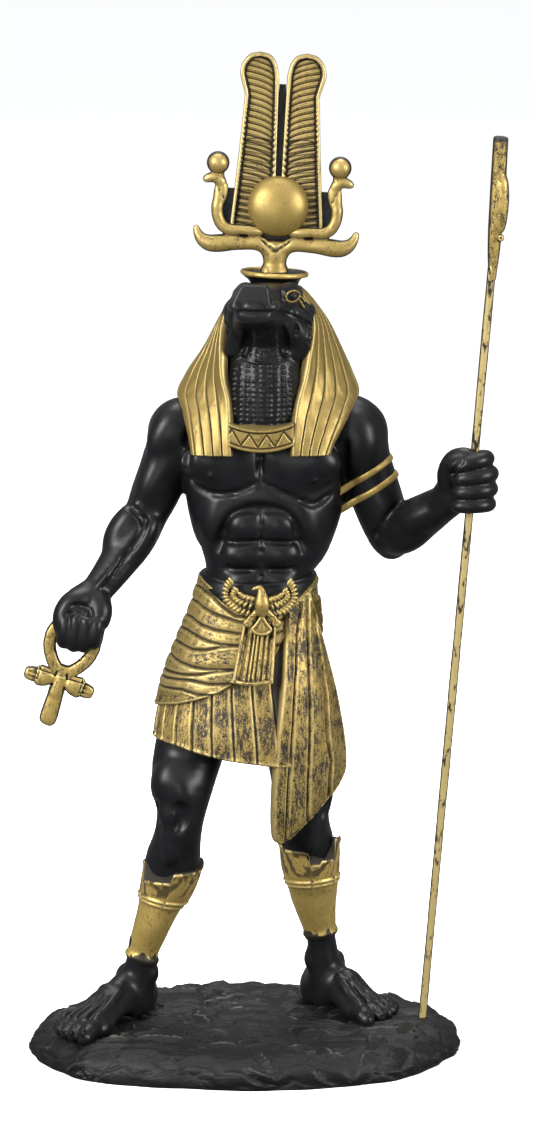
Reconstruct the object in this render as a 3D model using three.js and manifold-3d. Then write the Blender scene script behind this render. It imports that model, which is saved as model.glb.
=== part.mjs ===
// A table-top figurine of Sobek, the crocodile-headed god of ancient Egypt, in cold-cast resin.
// He stands astride on a low rocky base, with an ankh in his right fist and a was staff in his left.
// Four castings: the figure with its base, the crown on the flat cap of the head, the staff and the ankh.
// Millimetres, +Z up, the figure faces -Y. The origin is the centre of the base's underside.

import * as THREE from 'three';
import { mergeVertices } from 'three/addons/utils/BufferGeometryUtils.js';
import Module from 'manifold-3d';

const wasm = await Module();
wasm.setup();

// Driving dimensions
const baseLength = 131;
const baseWidth = 91;
const baseThickness = 9;
const figureHeight = 227.8; // soles to the top of the cap
const capRadius = 10;
const crownHeight = 63.2;
const discRadius = 8.8;
const staffDiameter = 2.3;
const staffAboveFist = 101.7;
const staffHeadLength = 38.3;
const ankhLength = 34;
const ankhThickness = 3.2;
const ankhCrossLength = 21.5;
const socketDepth = 4.5; // of the staff's foot in the base
const fitGap = 0.3; // between a casting and the piece it holds
const sinkIntoBase = 1.6; // how far the feet are modelled into the rock

const X = new THREE.Vector3(1, 0, 0);
const Y = new THREE.Vector3(0, 1, 0);
const Z = new THREE.Vector3(0, 0, 1);

// Places that more than one casting shares, in the pose's own millimetres, z up from the soles to the cap
const capCentre = new THREE.Vector3(8.9, 2, 227.8);
const figureScale = figureHeight / capCentre.z;
const rightFist = new THREE.Vector3(-48.4, -9, 122.6);
const leftFist = new THREE.Vector3(66.6, -20, 168.2);
const chestMiddle = 6.2; // x of the breastbone
const staffFoot = new THREE.Vector3(0.41 * baseLength, -0.6, 0);

const blackPaint = new THREE.MeshStandardMaterial({ color: 0x16171a, roughness: 0.32, metalness: 0.05 });
const goldPaint = new THREE.MeshStandardMaterial({ color: 0xb0904a, roughness: 0.42, metalness: 0.75 });

const vectors = (rows) => rows.map(([x, y, z]) => new THREE.Vector3(x, y, z));
const mix = THREE.MathUtils.lerp;
const smooth = THREE.MathUtils.smoothstep;
const hill = (distance, reach) => Math.exp(-((distance / reach) ** 2));

// Moves every vertex of a geometry with one function.
function reshape(geometry, move) {
  const places = geometry.attributes.position;
  const v = new THREE.Vector3();
  for (let i = 0; i < places.count; i++) {
    move(v.fromBufferAttribute(places, i));
    places.setXYZ(i, v.x, v.y, v.z);
  }
  return geometry;
}

// A closed form lofted through oval sections. Each station is [x, y, z, half width, half depth].
// The half width lies along `across`; carve(point, outward, angle, t) may move each surface point,
// where the angle is 0 at the front of a form that rises, and grows towards `across`.
function loft(stations, { sides = 12, steps = 2, across = X, carve } = {}) {
  const spine = new THREE.CatmullRomCurve3(vectors(stations));
  const girth = new THREE.CatmullRomCurve3(stations.map(([, , , wide, deep]) => new THREE.Vector3(wide, deep, 0)));
  const geometry = new THREE.CylinderGeometry(1, 1, 1, sides, (stations.length - 1) * steps);
  return reshape(geometry, (v) => {
    const t = THREE.MathUtils.clamp(v.y + 0.5, 0, 1);
    const angle = Math.atan2(v.x, v.z);
    const along = spine.getTangent(t);
    const side = across.clone().addScaledVector(along, -across.dot(along)).normalize();
    const front = side.clone().cross(along);
    const size = girth.getPoint(t);
    const out = side.multiplyScalar(v.x * size.x).addScaledVector(front, v.z * size.y);
    v.copy(spine.getPoint(t)).add(out);
    if (carve && out.length() > 1e-6) carve(v, out.normalize(), angle, t);
  });
}

// A round rod through points, one radius for each point.
const rod = (rows, { across = X, sides = 6, steps = 1 } = {}) =>
  loft(rows.map(([x, y, z, r]) => [x, y, z, r, r]), { sides, steps, across });

const ball = (x, y, z, rx, ry = rx, rz = rx, sides = 10) =>
  new THREE.SphereGeometry(1, sides, Math.ceil(sides * 0.6)).rotateX(Math.PI / 2).scale(rx, ry, rz).translate(x, y, z);

// A thick sheet: place(s, t, depth) gives its point, s across, t from top to bottom, depth 0 behind to 1 in front.
const sheet = (columns, rows, place) =>
  reshape(new THREE.BoxGeometry(1, 1, 1, columns, rows, 1), (v) =>
    v.copy(place(v.x + 0.5, 0.5 - v.y, v.z + 0.5)));

// A flat plate cut to an outline in x and z, its front face at y = front.
function plate(shape, front, thickness, curveSegments = 5) {
  const geometry = new THREE.ExtrudeGeometry(shape, { depth: thickness, bevelEnabled: false, curveSegments });
  return geometry.rotateX(Math.PI / 2).translate(0, front + thickness, 0);
}

function solid(geometry) {
  const bare = geometry.clone();
  for (const name of ['normal', 'uv']) bare.deleteAttribute(name);
  const merged = mergeVertices(bare, 1e-4);
  return new wasm.Manifold(new wasm.Mesh({
    numProp: 3,
    vertProperties: merged.attributes.position.array,
    triVerts: new Uint32Array(merged.index.array),
  }));
}

const join = (geometries) => geometries.map(solid).reduce((whole, piece) => whole.add(piece));

function mesh(name, manifold, material) {
  const { vertProperties, triVerts } = manifold.getMesh();
  const geometry = new THREE.BufferGeometry();
  geometry.setAttribute('position', new THREE.BufferAttribute(vertProperties, 3));
  geometry.setIndex(new THREE.BufferAttribute(triVerts, 1));
  geometry.computeVertexNormals();
  const made = new THREE.Mesh(geometry, material);
  made.name = name;
  return made;
}

// Puts a form of the figure on top of the base.
const onBase = (geometry) =>
  geometry.scale(figureScale, figureScale, figureScale).translate(0, 0, baseThickness);
const placeOnBase = (v) => v.clone().multiplyScalar(figureScale).add(new THREE.Vector3(0, 0, baseThickness));

// The rocky base: an uneven oval with a rounded, lumpy rim.
function base() {
  const profile = [[0.995, 0], [1, 0.25], [0.985, 0.5], [0.945, 0.8], [0.87, 1.04], [0.45, 1.04]];
  const ripples = (a) => 0.014 * Math.sin(3 * a + 0.4) - 0.012 * Math.cos(5 * a) + 0.008 * Math.sin(9 * a + 1);
  const outline = (a) => 1 + ripples(a) + 0.05 * hill(a + 0.8, 0.35) - 0.03 * hill(a + 1.8, 0.5);
  const lumps = (x, y) => 0.5 * Math.sin(x * 0.23 + y * 0.11) * Math.cos(y * 0.27 - x * 0.07) + 0.2 * Math.sin(x * 0.6);
  const rings = profile.length - 1;
  return reshape(new THREE.CylinderGeometry(1, 1, 1, 30, rings), (v) => {
    const ring = Math.round((v.y + 0.5) * rings);
    const angle = Math.atan2(v.x, v.z);
    const [share, height] = profile[ring];
    const radius = Math.hypot(v.x, v.z) * share * outline(angle);
    const x = Math.sin(angle) * radius * baseLength / 2;
    const y = -Math.cos(angle) * radius * baseWidth / 2;
    const rough = ring < 3 ? 0 : lumps(x, y);
    v.set(x, y, height * baseThickness + rough);
  });
}

// Legs, from inside the greave up to the hip. The right leg steps forward and out, the left stands back.
function legs() {
  const right = [
    [-22, -1, 45, 7.4, 8.3], [-21.2, -2, 49, 7.4, 8.2], [-20, -4.5, 55.5, 6.8, 7.3],
    [-19.2, -6, 61.5, 6.9, 7.4], [-18.6, -6.2, 67.5, 7.5, 8.1], [-17.6, -5.2, 74.5, 8.8, 9.4],
    [-15.8, -3.5, 83, 10.1, 11], [-10, 0, 103, 11.2, 12.2],
  ];
  const left = [
    [19.8, 4, 48.5, 7.5, 8.2], [19, 2, 53.5, 7.5, 8.1], [17.9, -0.5, 59.5, 7.2, 7.5],
    [17, -2.4, 65, 7.4, 7.6], [17.2, -2.4, 71, 8.4, 8.9], [17.3, -1.5, 80, 10, 10.6],
    [14, 0.6, 102, 11.3, 12.2],
  ];
  const kneecap = (height) => (v, out, angle) =>
    v.addScaledVector(out, 2 * smooth(Math.cos(angle), 0.5, 1) * hill(v.z - height, 3.6));
  return [
    loft(right, { sides: 10, steps: 1, carve: kneecap(61.5) }),
    loft(left, { sides: 10, steps: 1, carve: kneecap(65) }),
  ];
}

// A foot from heel to ball, with toes whose roots and tips are [x, y] on the ground, the big toe first.
function foot(stations, toes, across) {
  const instep = loft(stations, { sides: 8, steps: 1, across });
  const digits = toes.map(([rootX, rootY, tipX, tipY], i) => {
    const r = i === 0 ? 2.5 : 1.75 - 0.08 * i;
    const bend = [mix(rootX, tipX, 0.62), mix(rootY, tipY, 0.62)];
    return rod([[rootX, rootY, 2.2, r], [...bend, 1.8, r], [tipX, tipY, 0.7, r * 0.45]], { across, sides: 5 });
  });
  return [instep, ...digits];
}

function feet() {
  const low = -sinkIntoBase;
  const right = [
    [-30.2, 15.4, 3.6, 2.2, 3.2], [-31.1, 13.2, 5.2, 4.2, 6.2], [-33.6, 7.8, 6.8, 5.4, 7.8 - low],
    [-37.2, 1.2, 6.2, 5.8, 7.4], [-41.3, -5.5, 4.4, 6.4, 5.6], [-45.2, -12, 2.8, 7.2, 4.2],
    [-48.2, -17.2, 2, 7.4, 3.3], [-49.6, -19.8, 1.8, 6, 2.4],
  ];
  const rightToes = [
    [-44.4, -18.4, -48.1, -28.4], [-48, -17.6, -51.7, -26.2], [-50.2, -16, -53.9, -23.2],
    [-52.2, -14, -55.6, -19.8], [-53.6, -11.6, -56.4, -16.2],
  ];
  const left = [
    [20.2, 22, 3.6, 2.2, 3.2], [21.4, 20.4, 5.2, 4.2, 6.2], [24.8, 16.4, 7, 5.3, 8 - low],
    [28.4, 11.8, 6.2, 5.8, 7.4], [32.2, 7.4, 4.4, 6.4, 5.6], [35.8, 3.3, 2.8, 7.2, 4.2],
    [38.4, 0.4, 2, 7.4, 3.3], [39.6, -1, 1.8, 6, 2.4],
  ];
  const leftToes = [
    [34.6, -2.6, 37.6, -8.6], [38.2, 0, 41.8, -4.8], [40, 2.2, 44, -0.8],
    [41.6, 4.6, 45.6, 2.8], [42.6, 7.2, 46.4, 6.6],
  ];
  return [
    ...foot(right, rightToes, new THREE.Vector3(-0.853, 0.52, 0)),
    ...foot(left, leftToes, new THREE.Vector3(-0.69, -0.72, 0)),
  ];
}

// Greaves: a shin and calf cased in metal, with a rim above the ankle, a raised band below the calf and a
// top that is notched in front. The bare ankle below runs down into the foot.
function greave(stations, bandRises, notch) {
  const last = stations.length - 1;
  return loft(stations.map(([x, y, z, wide, deep], i) => [x, y, z, wide + bandRises[i], deep + bandRises[i]]), {
    steps: 1,
    carve: (v, out, angle, t) => {
      const ring = Math.round(t * last);
      if (ring === last) v.z -= notch * smooth(Math.cos(angle), 0.5, 0.75);
    },
  });
}

function greaves() {
  const right = [
    [-33.4, 4.6, 8, 5.5, 6.4], [-32, 3.7, 15.8, 5.1, 5.5], [-31.3, 3.5, 17.9, 4.7, 5.3], [-30.5, 3.2, 20.7, 4.9, 5.5],
    [-30.1, 3.1, 22, 5.1, 5.7], [-27.7, 2, 29.2, 5.9, 7], [-25.8, 1.4, 34.4, 6.5, 7.9], [-24.4, 1.2, 36.8, 7.5, 8.3],
    [-23.7, 0.8, 38.8, 7.9, 8.7], [-23.3, 0.6, 39.9, 8.1, 8.8], [-21.8, -1, 46, 8.4, 9.1], [-20.9, -2.2, 50.5, 8.1, 8.9],
  ];
  const left = [
    [25.2, 13.8, 8, 5.4, 6.4], [23.3, 13, 20.6, 4.9, 5.5], [23.3, 12.7, 22.5, 4.5, 5.4], [22.9, 12, 25.5, 4.7, 5.7],
    [22.5, 11.5, 26.8, 5.2, 6], [21.2, 9.4, 33.5, 6.6, 7.3], [20.6, 7.7, 39.8, 7.6, 8.2], [20.6, 7.2, 41.1, 7.5, 8.4],
    [20.3, 6.3, 43.6, 7.8, 8.7], [20.1, 5.8, 44.9, 8, 8.8], [19.6, 4, 49.5, 8.4, 9.1], [19, 2.2, 54.5, 8.4, 8.9],
  ];
  const bandRises = [0, 0, 0.9, 0.9, 0.2, 0, 0, 0.8, 0.8, 0, 0, 0];
  return [greave(right, bandRises, 4), greave(left, bandRises, 5)];
}

// How far the muscles of the front stand out, x from the breastbone and z up.
function muscles(x, z) {
  const away = Math.abs(x);
  const chest = 3 * smooth(z, 160, 164.5) * hill(z - 168, 11) * hill(away - 9.5, 8.5);
  const breastbone = -1.3 * hill(away, 1.8) * hill(z - 168, 9);
  const belly = [154, 146.5, 139].reduce((sum, row) => sum + 1.1 * hill(away - 4.6, 3.2) * hill(z - row, 2.9), 0);
  const midline = -0.8 * hill(away, 1.4) * hill(z - 146, 15);
  const ribs = 0.9 * hill(away - 15, 4.5) * hill(z - 152, 6);
  return chest + breastbone + belly + midline + ribs;
}

function torso() {
  const stations = [
    [3.9, 1, 128, 16, 11.2], [4.2, 1, 134.5, 15.9, 10.8], [4.6, 1, 138, 16, 10.9], [5, 1, 142.2, 16.8, 11.2],
    [5.4, 1.1, 146.2, 18.6, 11.7], [5.7, 1.3, 150, 20.4, 12.3], [5.9, 1.5, 154, 21.9, 12.8],
    [6.1, 1.8, 158.6, 23.1, 13.3], [6.2, 2, 161.6, 23.6, 13.6], [6.2, 2.3, 165, 23.9, 13.7],
    [6.4, 2.8, 171, 23.8, 13.2], [6.6, 3.6, 178, 22.5, 11.8], [6.8, 4.4, 185, 18.5, 10], [6.9, 4.8, 191, 11, 8.6],
  ];
  return [loft(stations, {
    sides: 20,
    steps: 1,
    carve: (v, out, angle) => {
      const front = smooth(Math.cos(angle), 0.1, 0.6);
      const behind = smooth(-Math.cos(angle), 0.6, 1);
      v.addScaledVector(out, front * muscles(v.x - chestMiddle, v.z));
      v.addScaledVector(out, -1.2 * behind * hill(v.x - chestMiddle, 3)); // the furrow of the spine
    },
  })];
}

// Arms, wrist first. The right hangs free, the left is bent to hold the staff.
function arms() {
  const right = [
    [-46.4, -8, 129.6, 4.6, 3.4], [-43.6, -7, 133.2, 4.9, 3.8], [-40.2, -5, 137.4, 5.6, 4.7], [-36.2, -2, 142.8, 6.5, 5.8],
    [-32.4, 1, 148.6, 7.1, 6.6], [-29.2, 3, 154.6, 6.9, 6.6], [-26.6, 4, 160.4, 7.6, 7.5], [-24, 4, 166.6, 8, 8.2],
    [-21, 4, 173, 8.8, 9.4], [-16.8, 4, 179.6, 10, 9.9], [-9, 4.6, 184.5, 7, 8.2],
  ];
  const leftUpper = [
    [44, 5.8, 144.8, 4.6, 4.4], [42.9, 5.2, 149.4, 7, 6.6], [40.6, 4.6, 155.8, 7.9, 7.6], [38.4, 4, 162.4, 8, 8.3],
    [36.4, 4, 168.6, 8, 8.8], [33.5, 4, 174.6, 9.4, 9.6], [29.9, 4, 180.4, 10.4, 9.9], [22, 4.6, 185, 7, 8.2],
  ];
  const leftFore = [
    [61, -15.5, 162.2, 5.2, 4.4], [57.6, -11.4, 159.4, 5.8, 5], [54, -6.8, 156.2, 6.6, 6],
    [50.2, -2, 153, 7.2, 6.9], [46.6, 2.4, 150, 7.4, 7], [43.6, 5.6, 147.4, 6.3, 6],
  ];
  const limb = { sides: 10, steps: 1 };
  return [loft(right, limb), loft(leftUpper, limb), loft(leftFore, { ...limb, across: Z })];
}

// Four fingers side by side, as one loft whose rings swell over each finger and sink between them.
function fingerRow(from, to, [wide, deep], across) {
  const rings = 9;
  return loft(Array.from({ length: rings }, (_, i) => {
    const t = i / (rings - 1);
    const end = i === 0 || i === rings - 1 ? 0.72 : 1;
    const swell = (i % 2 === 0 ? 0.88 : 1) * end * (1 - 0.12 * t);
    return [mix(from.x, to.x, t), mix(from.y, to.y, t), mix(from.z, to.z, t), wide * swell, deep * swell];
  }), { sides: 8, steps: 1, across });
}

const offset = (v, x, y, z) => new THREE.Vector3(v.x + x, v.y + y, v.z + z);

// The left fist closes round the staff, the fingers in rows down it and the thumb over the first finger.
function leftHand() {
  const { x, y, z } = leftFist;
  const fingers = fingerRow(offset(leftFist, -0.4, -0.4, 7.6), offset(leftFist, 0.2, 0.4, -8.4), [7.6, 6.4], X);
  const heel = loft([
    [x - 7.4, y + 6.4, z - 6.4, 3.8, 4.2], [x - 4.6, y + 3.8, z - 3, 6.2, 5.2], [x - 1, y + 2, z - 0.6, 7.4, 4.8],
  ], { sides: 8, steps: 1, across: Z });
  const thumb = rod([
    [x - 7, y + 3, z - 4.5, 3.2], [x - 7.2, y - 0.6, z + 2.4, 3.3], [x - 3.6, y - 3.8, z + 7.4, 2.7],
    [x + 1, y - 5.6, z + 8.4, 2.2], [x + 3.6, y - 5.4, z + 7.2, 1.2],
  ], { sides: 6 });
  return [fingers, heel, thumb];
}

// The right fist hangs palm forward, its fingers curled up in front of the ankh's loop.
function rightHand() {
  const { x, y, z } = rightFist;
  const fingers = fingerRow(offset(rightFist, 6.2, -0.8, 0.2), offset(rightFist, -6.4, -0.8, -0.8), [6.2, 6.2], Y);
  const palm = loft([
    [x + 0.6, y + 1.4, z - 2, 6.4, 4.4], [x + 1.2, y + 1.6, z + 4, 7.4, 4.4], [x + 2.2, y + 1, z + 8.4, 5.4, 3.8],
  ], { sides: 8, steps: 1 });
  const thumb = rod([
    [x - 1.6, y + 0.4, z + 7.6, 3.2], [x - 4.8, y - 2.4, z + 4.6, 2.8],
    [x - 5.2, y - 4.6, z + 0.8, 2.3], [x - 5, y - 5.4, z - 2, 1.6],
  ], { across: Y });
  return [fingers, palm, thumb];
}

// The crocodile's head looks ahead and a little to its right, with the chin raised and the mouth shut.
function head() {
  const skull = loft([
    [3, -28, 222.4, 3.6, 2.2], [3, -27.2, 222.2, 6, 3.5], [3.1, -24.5, 222, 6.6, 3.7], [3.9, -18, 221.1, 6.7, 4.1],
    [5, -12, 219.9, 8.2, 5], [6.4, -6, 218.2, 10, 6.2], [7.6, 0, 216.6, 10.6, 7.2], [8, 7, 215.4, 9.6, 8],
  ], {
    sides: 12,
    steps: 1,
    carve: (v, out, angle, t) => {
      const brow = 1.1 * hill(t - 0.6, 0.1) * hill(Math.abs(angle) - 0.8, 0.4);
      v.addScaledVector(out, brow);
    },
  });
  const jaw = loft([
    [3, -26.6, 217.2, 3.4, 1.6], [3, -25.8, 217.1, 5.8, 2.6], [3.4, -22, 216.6, 6.4, 3.2], [4.4, -15, 215, 7.4, 4.4],
    [5.6, -9, 213, 10, 6.4], [7, -3, 210.6, 12.4, 8.2], [7.6, 3, 209, 12.4, 9],
  ], { sides: 12, steps: 1 });
  const throat = loft([
    [5.4, -6, 176, 10, 9.4], [6, -4.4, 193, 11, 10.4], [6.7, -3, 202, 11.6, 10.4],
    [7.2, -1, 210, 10.4, 9],
  ], { sides: 10, steps: 1 });
  const rim = capRadius / figureScale;
  const cap = new THREE.LatheGeometry(
    [[0, -9], [6.2, -9], [6.3, -4.4], [7.6, -2.6], [rim, -1.5], [rim, 0], [0, 0]]
      .map(([r, h]) => new THREE.Vector2(r, h)),
    18,
  ).rotateX(Math.PI / 2).translate(capCentre.x, capCentre.y, capCentre.z);
  return [skull, jaw, throat, cap];
}

// The striped headcloth: a hood that spreads to two wings, two lappets on the chest and a tail behind.
function headcloth() {
  const stripes = 16;
  const hood = loft([
    [6.6, 7, 176, 17, 7.6], [6.8, 6, 183, 22, 9.4], [7, 4.6, 188.6, 26.2, 11], [7.2, 4.6, 191.4, 26.4, 12],
    [7.9, 4.6, 197.5, 24.2, 13.4], [8.5, 4.6, 204.5, 20.3, 13.8], [8.7, 4.4, 211.9, 16.4, 13.2],
    [8.4, 3.8, 217, 12.8, 11.6], [8.6, 3.2, 221.8, 8.8, 9],
  ], {
    sides: stripes * 2,
    steps: 1,
    carve: (v, out, angle) => v.addScaledVector(out, -0.55 * (Math.round(angle * stripes / Math.PI) % 2 === 0 ? 0 : 1)),
  });
  const opening = loft([
    [5.4, -13, 170, 9, 12], [5.4, -13, 184, 10, 12], [6.4, -13, 195, 11.8, 12], [6.8, -12.6, 204, 13.4, 12],
    [7, -12, 212, 13.2, 11.4], [7, -11, 219, 10.6, 9.6], [7, -9.5, 228, 8, 8],
  ], { sides: 12, steps: 1 });
  // Each lappet is [inner top, outer top, inner bottom, outer bottom] in x.
  const lappets = [[-4.6, -17.8, -3.9, -15.2], [15, 30.6, 14.2, 24.6]].map(([inTop, outTop, inLow, outLow]) =>
    sheet(6, 3, (s, t, depth) => {
      const x = mix(mix(inTop, outTop, s), mix(inLow, outLow, s), t ** 0.7);
      const back = 4.2 * s * s * (1.2 - 0.5 * t);
      const rib = depth === 1 && Math.round(s * 6) % 2 === 1 ? 0.6 : 0;
      const front = -12.6 - 4.6 * smooth(t, 0, 0.7) + back + rib;
      return new THREE.Vector3(x, mix(front + 5, front, depth), mix(189, 173.4 - 0.8 * s, t));
    }));
  const tail = rod([[6.8, 11, 168, 3], [6.8, 13.4, 176, 3.6], [6.8, 13, 184, 5]], { sides: 8 });
  const [left, right] = lappets.map((geometry, i) => (i === 0 ? flip(geometry) : geometry));
  const cloth = solid(onBase(hood)).subtract(solid(onBase(opening)));
  return [left, right, tail].reduce((whole, piece) => whole.add(solid(onBase(piece))), cloth);
}

// Turns the faces of a geometry round, for a sheet that is laid out mirrored.
function flip(geometry) {
  const index = geometry.index.array;
  for (let i = 0; i < index.length; i += 3) [index[i], index[i + 1]] = [index[i + 1], index[i]];
  return geometry;
}

// The collar across the breast between the lappets.
function collar() {
  return [sheet(4, 3, (s, t, depth) => {
    const half = 9.6;
    const across = mix(-half, half, s);
    const dip = 1.6 * (1 - (across / half) ** 2);
    const rim = t < 0.2 || t > 0.8 ? 0.5 : 0;
    const front = -14.6 - dip - rim;
    return new THREE.Vector3(5 + across, mix(front + 4, front, depth), mix(184.4, 177.4, t) - dip);
  })];
}

// Two armlets side by side, slanting round the left upper arm.
function armlets() {
  const rises = [0, 0.7, 0.7, 0, 0.7, 0.7, 0];
  return [loft(rises.map((rise, i) => {
    const down = 1.7 * i;
    return [34.7 + 0.42 * down, 3.8, 169.6 - down, 7.7 + rise, 8.8 + rise];
  }), {
    sides: 11,
    steps: 1,
    carve: (v) => {
      v.z += 0.2 * (v.x - 36.5);
    },
  })];
}

// The kilt's oval section at a height, as [x, y, half width, half depth].
const kiltSections = [
  [80, 1, -0.5, 28.4, 17.8], [90, 1.2, -0.5, 28.2, 17.6], [98, 1.2, 0, 26.8, 16.8], [105, 1.2, 0, 25.2, 15.8],
  [112.4, 1.8, 0, 23, 14.8], [122.6, 2.6, 0.5, 19.8, 13.2], [129, 3.3, 1, 17.8, 12.3], [135, 4.1, 1, 16.6, 11.6],
];
function kiltSection(z) {
  const last = kiltSections.length - 1;
  const above = kiltSections.findIndex(([height]) => height > z);
  const i = above < 0 ? last : Math.max(1, above);
  const [low, high] = [kiltSections[i - 1], kiltSections[i]];
  const share = (z - low[0]) / (high[0] - low[0]);
  const [, x, y, wide, deep] = low.map((value, n) => mix(value, high[n], share));
  return { x, y, wide, deep };
}

// The kilt: a pleated skirt, a wrap drawn round the hips, a short apron and a long pleated end at the left thigh.
function kilt() {
  const pleats = 18;
  const skirt = loft(kiltSections.slice(0, 4).map(([z, x, y, wide, deep]) => [x, y, z, wide, deep]), {
    sides: pleats * 2,
    steps: 1,
    carve: (v, out, angle, t) => {
      const groove = Math.round(angle * pleats / Math.PI) % 2 === 0 ? 0 : 1;
      v.addScaledVector(out, -0.7 * groove * (1 - t));
      if (t < 0.05) v.z += 3 - 0.17 * (v.x + 10);
    },
  });
  const folds = 9;
  const wrapHem = 97.5;
  const wrap = loft(Array.from({ length: folds }, (_, i) => {
    const z = mix(wrapHem, 135, i / (folds - 1));
    const { x, y, wide, deep } = kiltSection(z);
    return [x, y, z, wide + 1.2, deep + 1.2];
  }), {
    sides: 20,
    steps: 1,
    carve: (v, out, angle, t) => {
      const ring = Math.round(t * (folds - 1));
      const drawn = hill(angle + 0.6, 1.5);
      v.addScaledVector(out, (ring % 2 === 0 ? 0.25 : -0.9 * drawn) - 1.1 * smooth(Math.sin(angle), 0.2, 0.8));
      v.z += 4.5 * hill(angle + 0.2, 0.7) * (1 - t) - 2.5 * hill(angle + 0.2, 0.9) * t;
    },
  });
  const apron = sheet(6, 2, (s, t, depth) => {
    const x = mix(mix(-0.6, -3.8, t), mix(9.4, 8.6, t), s);
    const rib = Math.round(s * 6) % 2 === 1 ? 0.6 : 0;
    const front = -14.4 - 3.6 * t + 0.02 * (x - 3) ** 2 + rib;
    return new THREE.Vector3(x, mix(front + 4, front, depth), mix(124, 107.2, t));
  });
  return [skirt, wrap, apron, sideFall()];
}

// The long end of the kilt: hangs over the left thigh to a point in front of the shin.
function sideFall() {
  const columns = 6;
  const rightEdge = new THREE.CatmullRomCurve3(vectors([
    [20.4, -7, 132], [23.6, -6, 119], [27.6, -4.5, 103], [29.8, -3, 90], [30.6, -3, 80],
    [28, -6, 74], [20.6, -11, 66], [13, -13.4, 58.6],
  ]));
  const leftEdge = new THREE.CatmullRomCurve3(vectors([
    [13.6, -12, 132], [12.6, -14.4, 119], [11.4, -17, 103], [10.4, -18, 90],
    [9.9, -17.6, 80], [9.5, -16.8, 72], [9.4, -15.6, 64], [10.2, -14.6, 58.2],
  ]));
  return sheet(columns, 7, (s, t, depth) => {
    const [a, b] = [leftEdge.getPoint(t), rightEdge.getPoint(t)];
    const point = a.clone().lerp(b, s);
    const bulge = Math.sin(Math.PI * s) * (b.x - a.x) * 0.16;
    const rib = depth === 1 && Math.round(s * columns) % 2 === 1 ? 0.6 : 0;
    const out = new THREE.Vector3(0.45 + 0.3 * s, -0.85 + 0.25 * s, 0).normalize();
    return point.addScaledVector(out, bulge - rib - (depth === 1 ? 0 : 4));
  });
}

// The belt dips in front under the falcon clasp.
function belt() {
  const rings = [[-2.4, 0.2], [-1.6, 1], [1.6, 1], [2.4, 0.2]];
  return [loft(rings.map(([rise, proud]) => [3.9, 1, 133.6 + rise, 16.3 + proud, 12 + proud]), {
    sides: 16,
    steps: 1,
    carve: (v, out, angle) => {
      v.z -= 7 * hill(angle, 0.95) - 1.2 * hill(Math.abs(angle) - Math.PI, 1);
      v.addScaledVector(out, 2.2 * hill(angle, 0.8));
    },
  })];
}

// The clasp: a falcon with raised wings, its claws on two rings, above a fanned tail.
function falcon() {
  const front = -16.8;
  const middle = { x: 5.2, z: 131.6 };
  const outline = new THREE.Shape();
  outline.moveTo(0, 1);
  for (const side of [1, -1]) {
    const corners = side === 1
      ? [[4.6, 2.2], [8.6, 6.8], [11, 3.4], [9.6, -1.2], [5.8, -4.6], [1.4, -4.8]]
      : [[1.4, -4.8], [5.8, -4.6], [9.6, -1.2], [11, 3.4], [8.6, 6.8], [4.6, 2.2]];
    if (side === -1) outline.lineTo(3, -9.8).lineTo(-3.2, -9.8);
    corners.forEach(([x, z]) => outline.lineTo(side * x, z));
  }
  const wings = plate(outline, front, 3).translate(middle.x, 0, middle.z);
  const body = loft([
    [middle.x, front + 0.2, middle.z - 5.2, 0.9, 0.8], [middle.x, front, middle.z - 2, 2.1, 1.4],
    [middle.x, front, middle.z + 1.6, 1.8, 1.4], [middle.x - 0.4, front, middle.z + 4.4, 1.2, 1],
    [middle.x - 1.8, front - 0.2, middle.z + 4.6, 0.4, 0.4],
  ], { sides: 6, steps: 1 });
  const claws = [-4.4, 4.6].flatMap((x) => {
    const ring = new THREE.CylinderGeometry(1.3, 1.3, 2, 8).translate(middle.x + x, front + 0.6, middle.z - 6.4);
    const leg = rod([
      [middle.x + 0.3 * x, front + 1, middle.z - 3.4, 1], [middle.x + x, front + 1, middle.z - 6, 0.8],
    ], { sides: 5 });
    return [ring, leg];
  });
  return [wings, body, ...claws];
}

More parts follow.
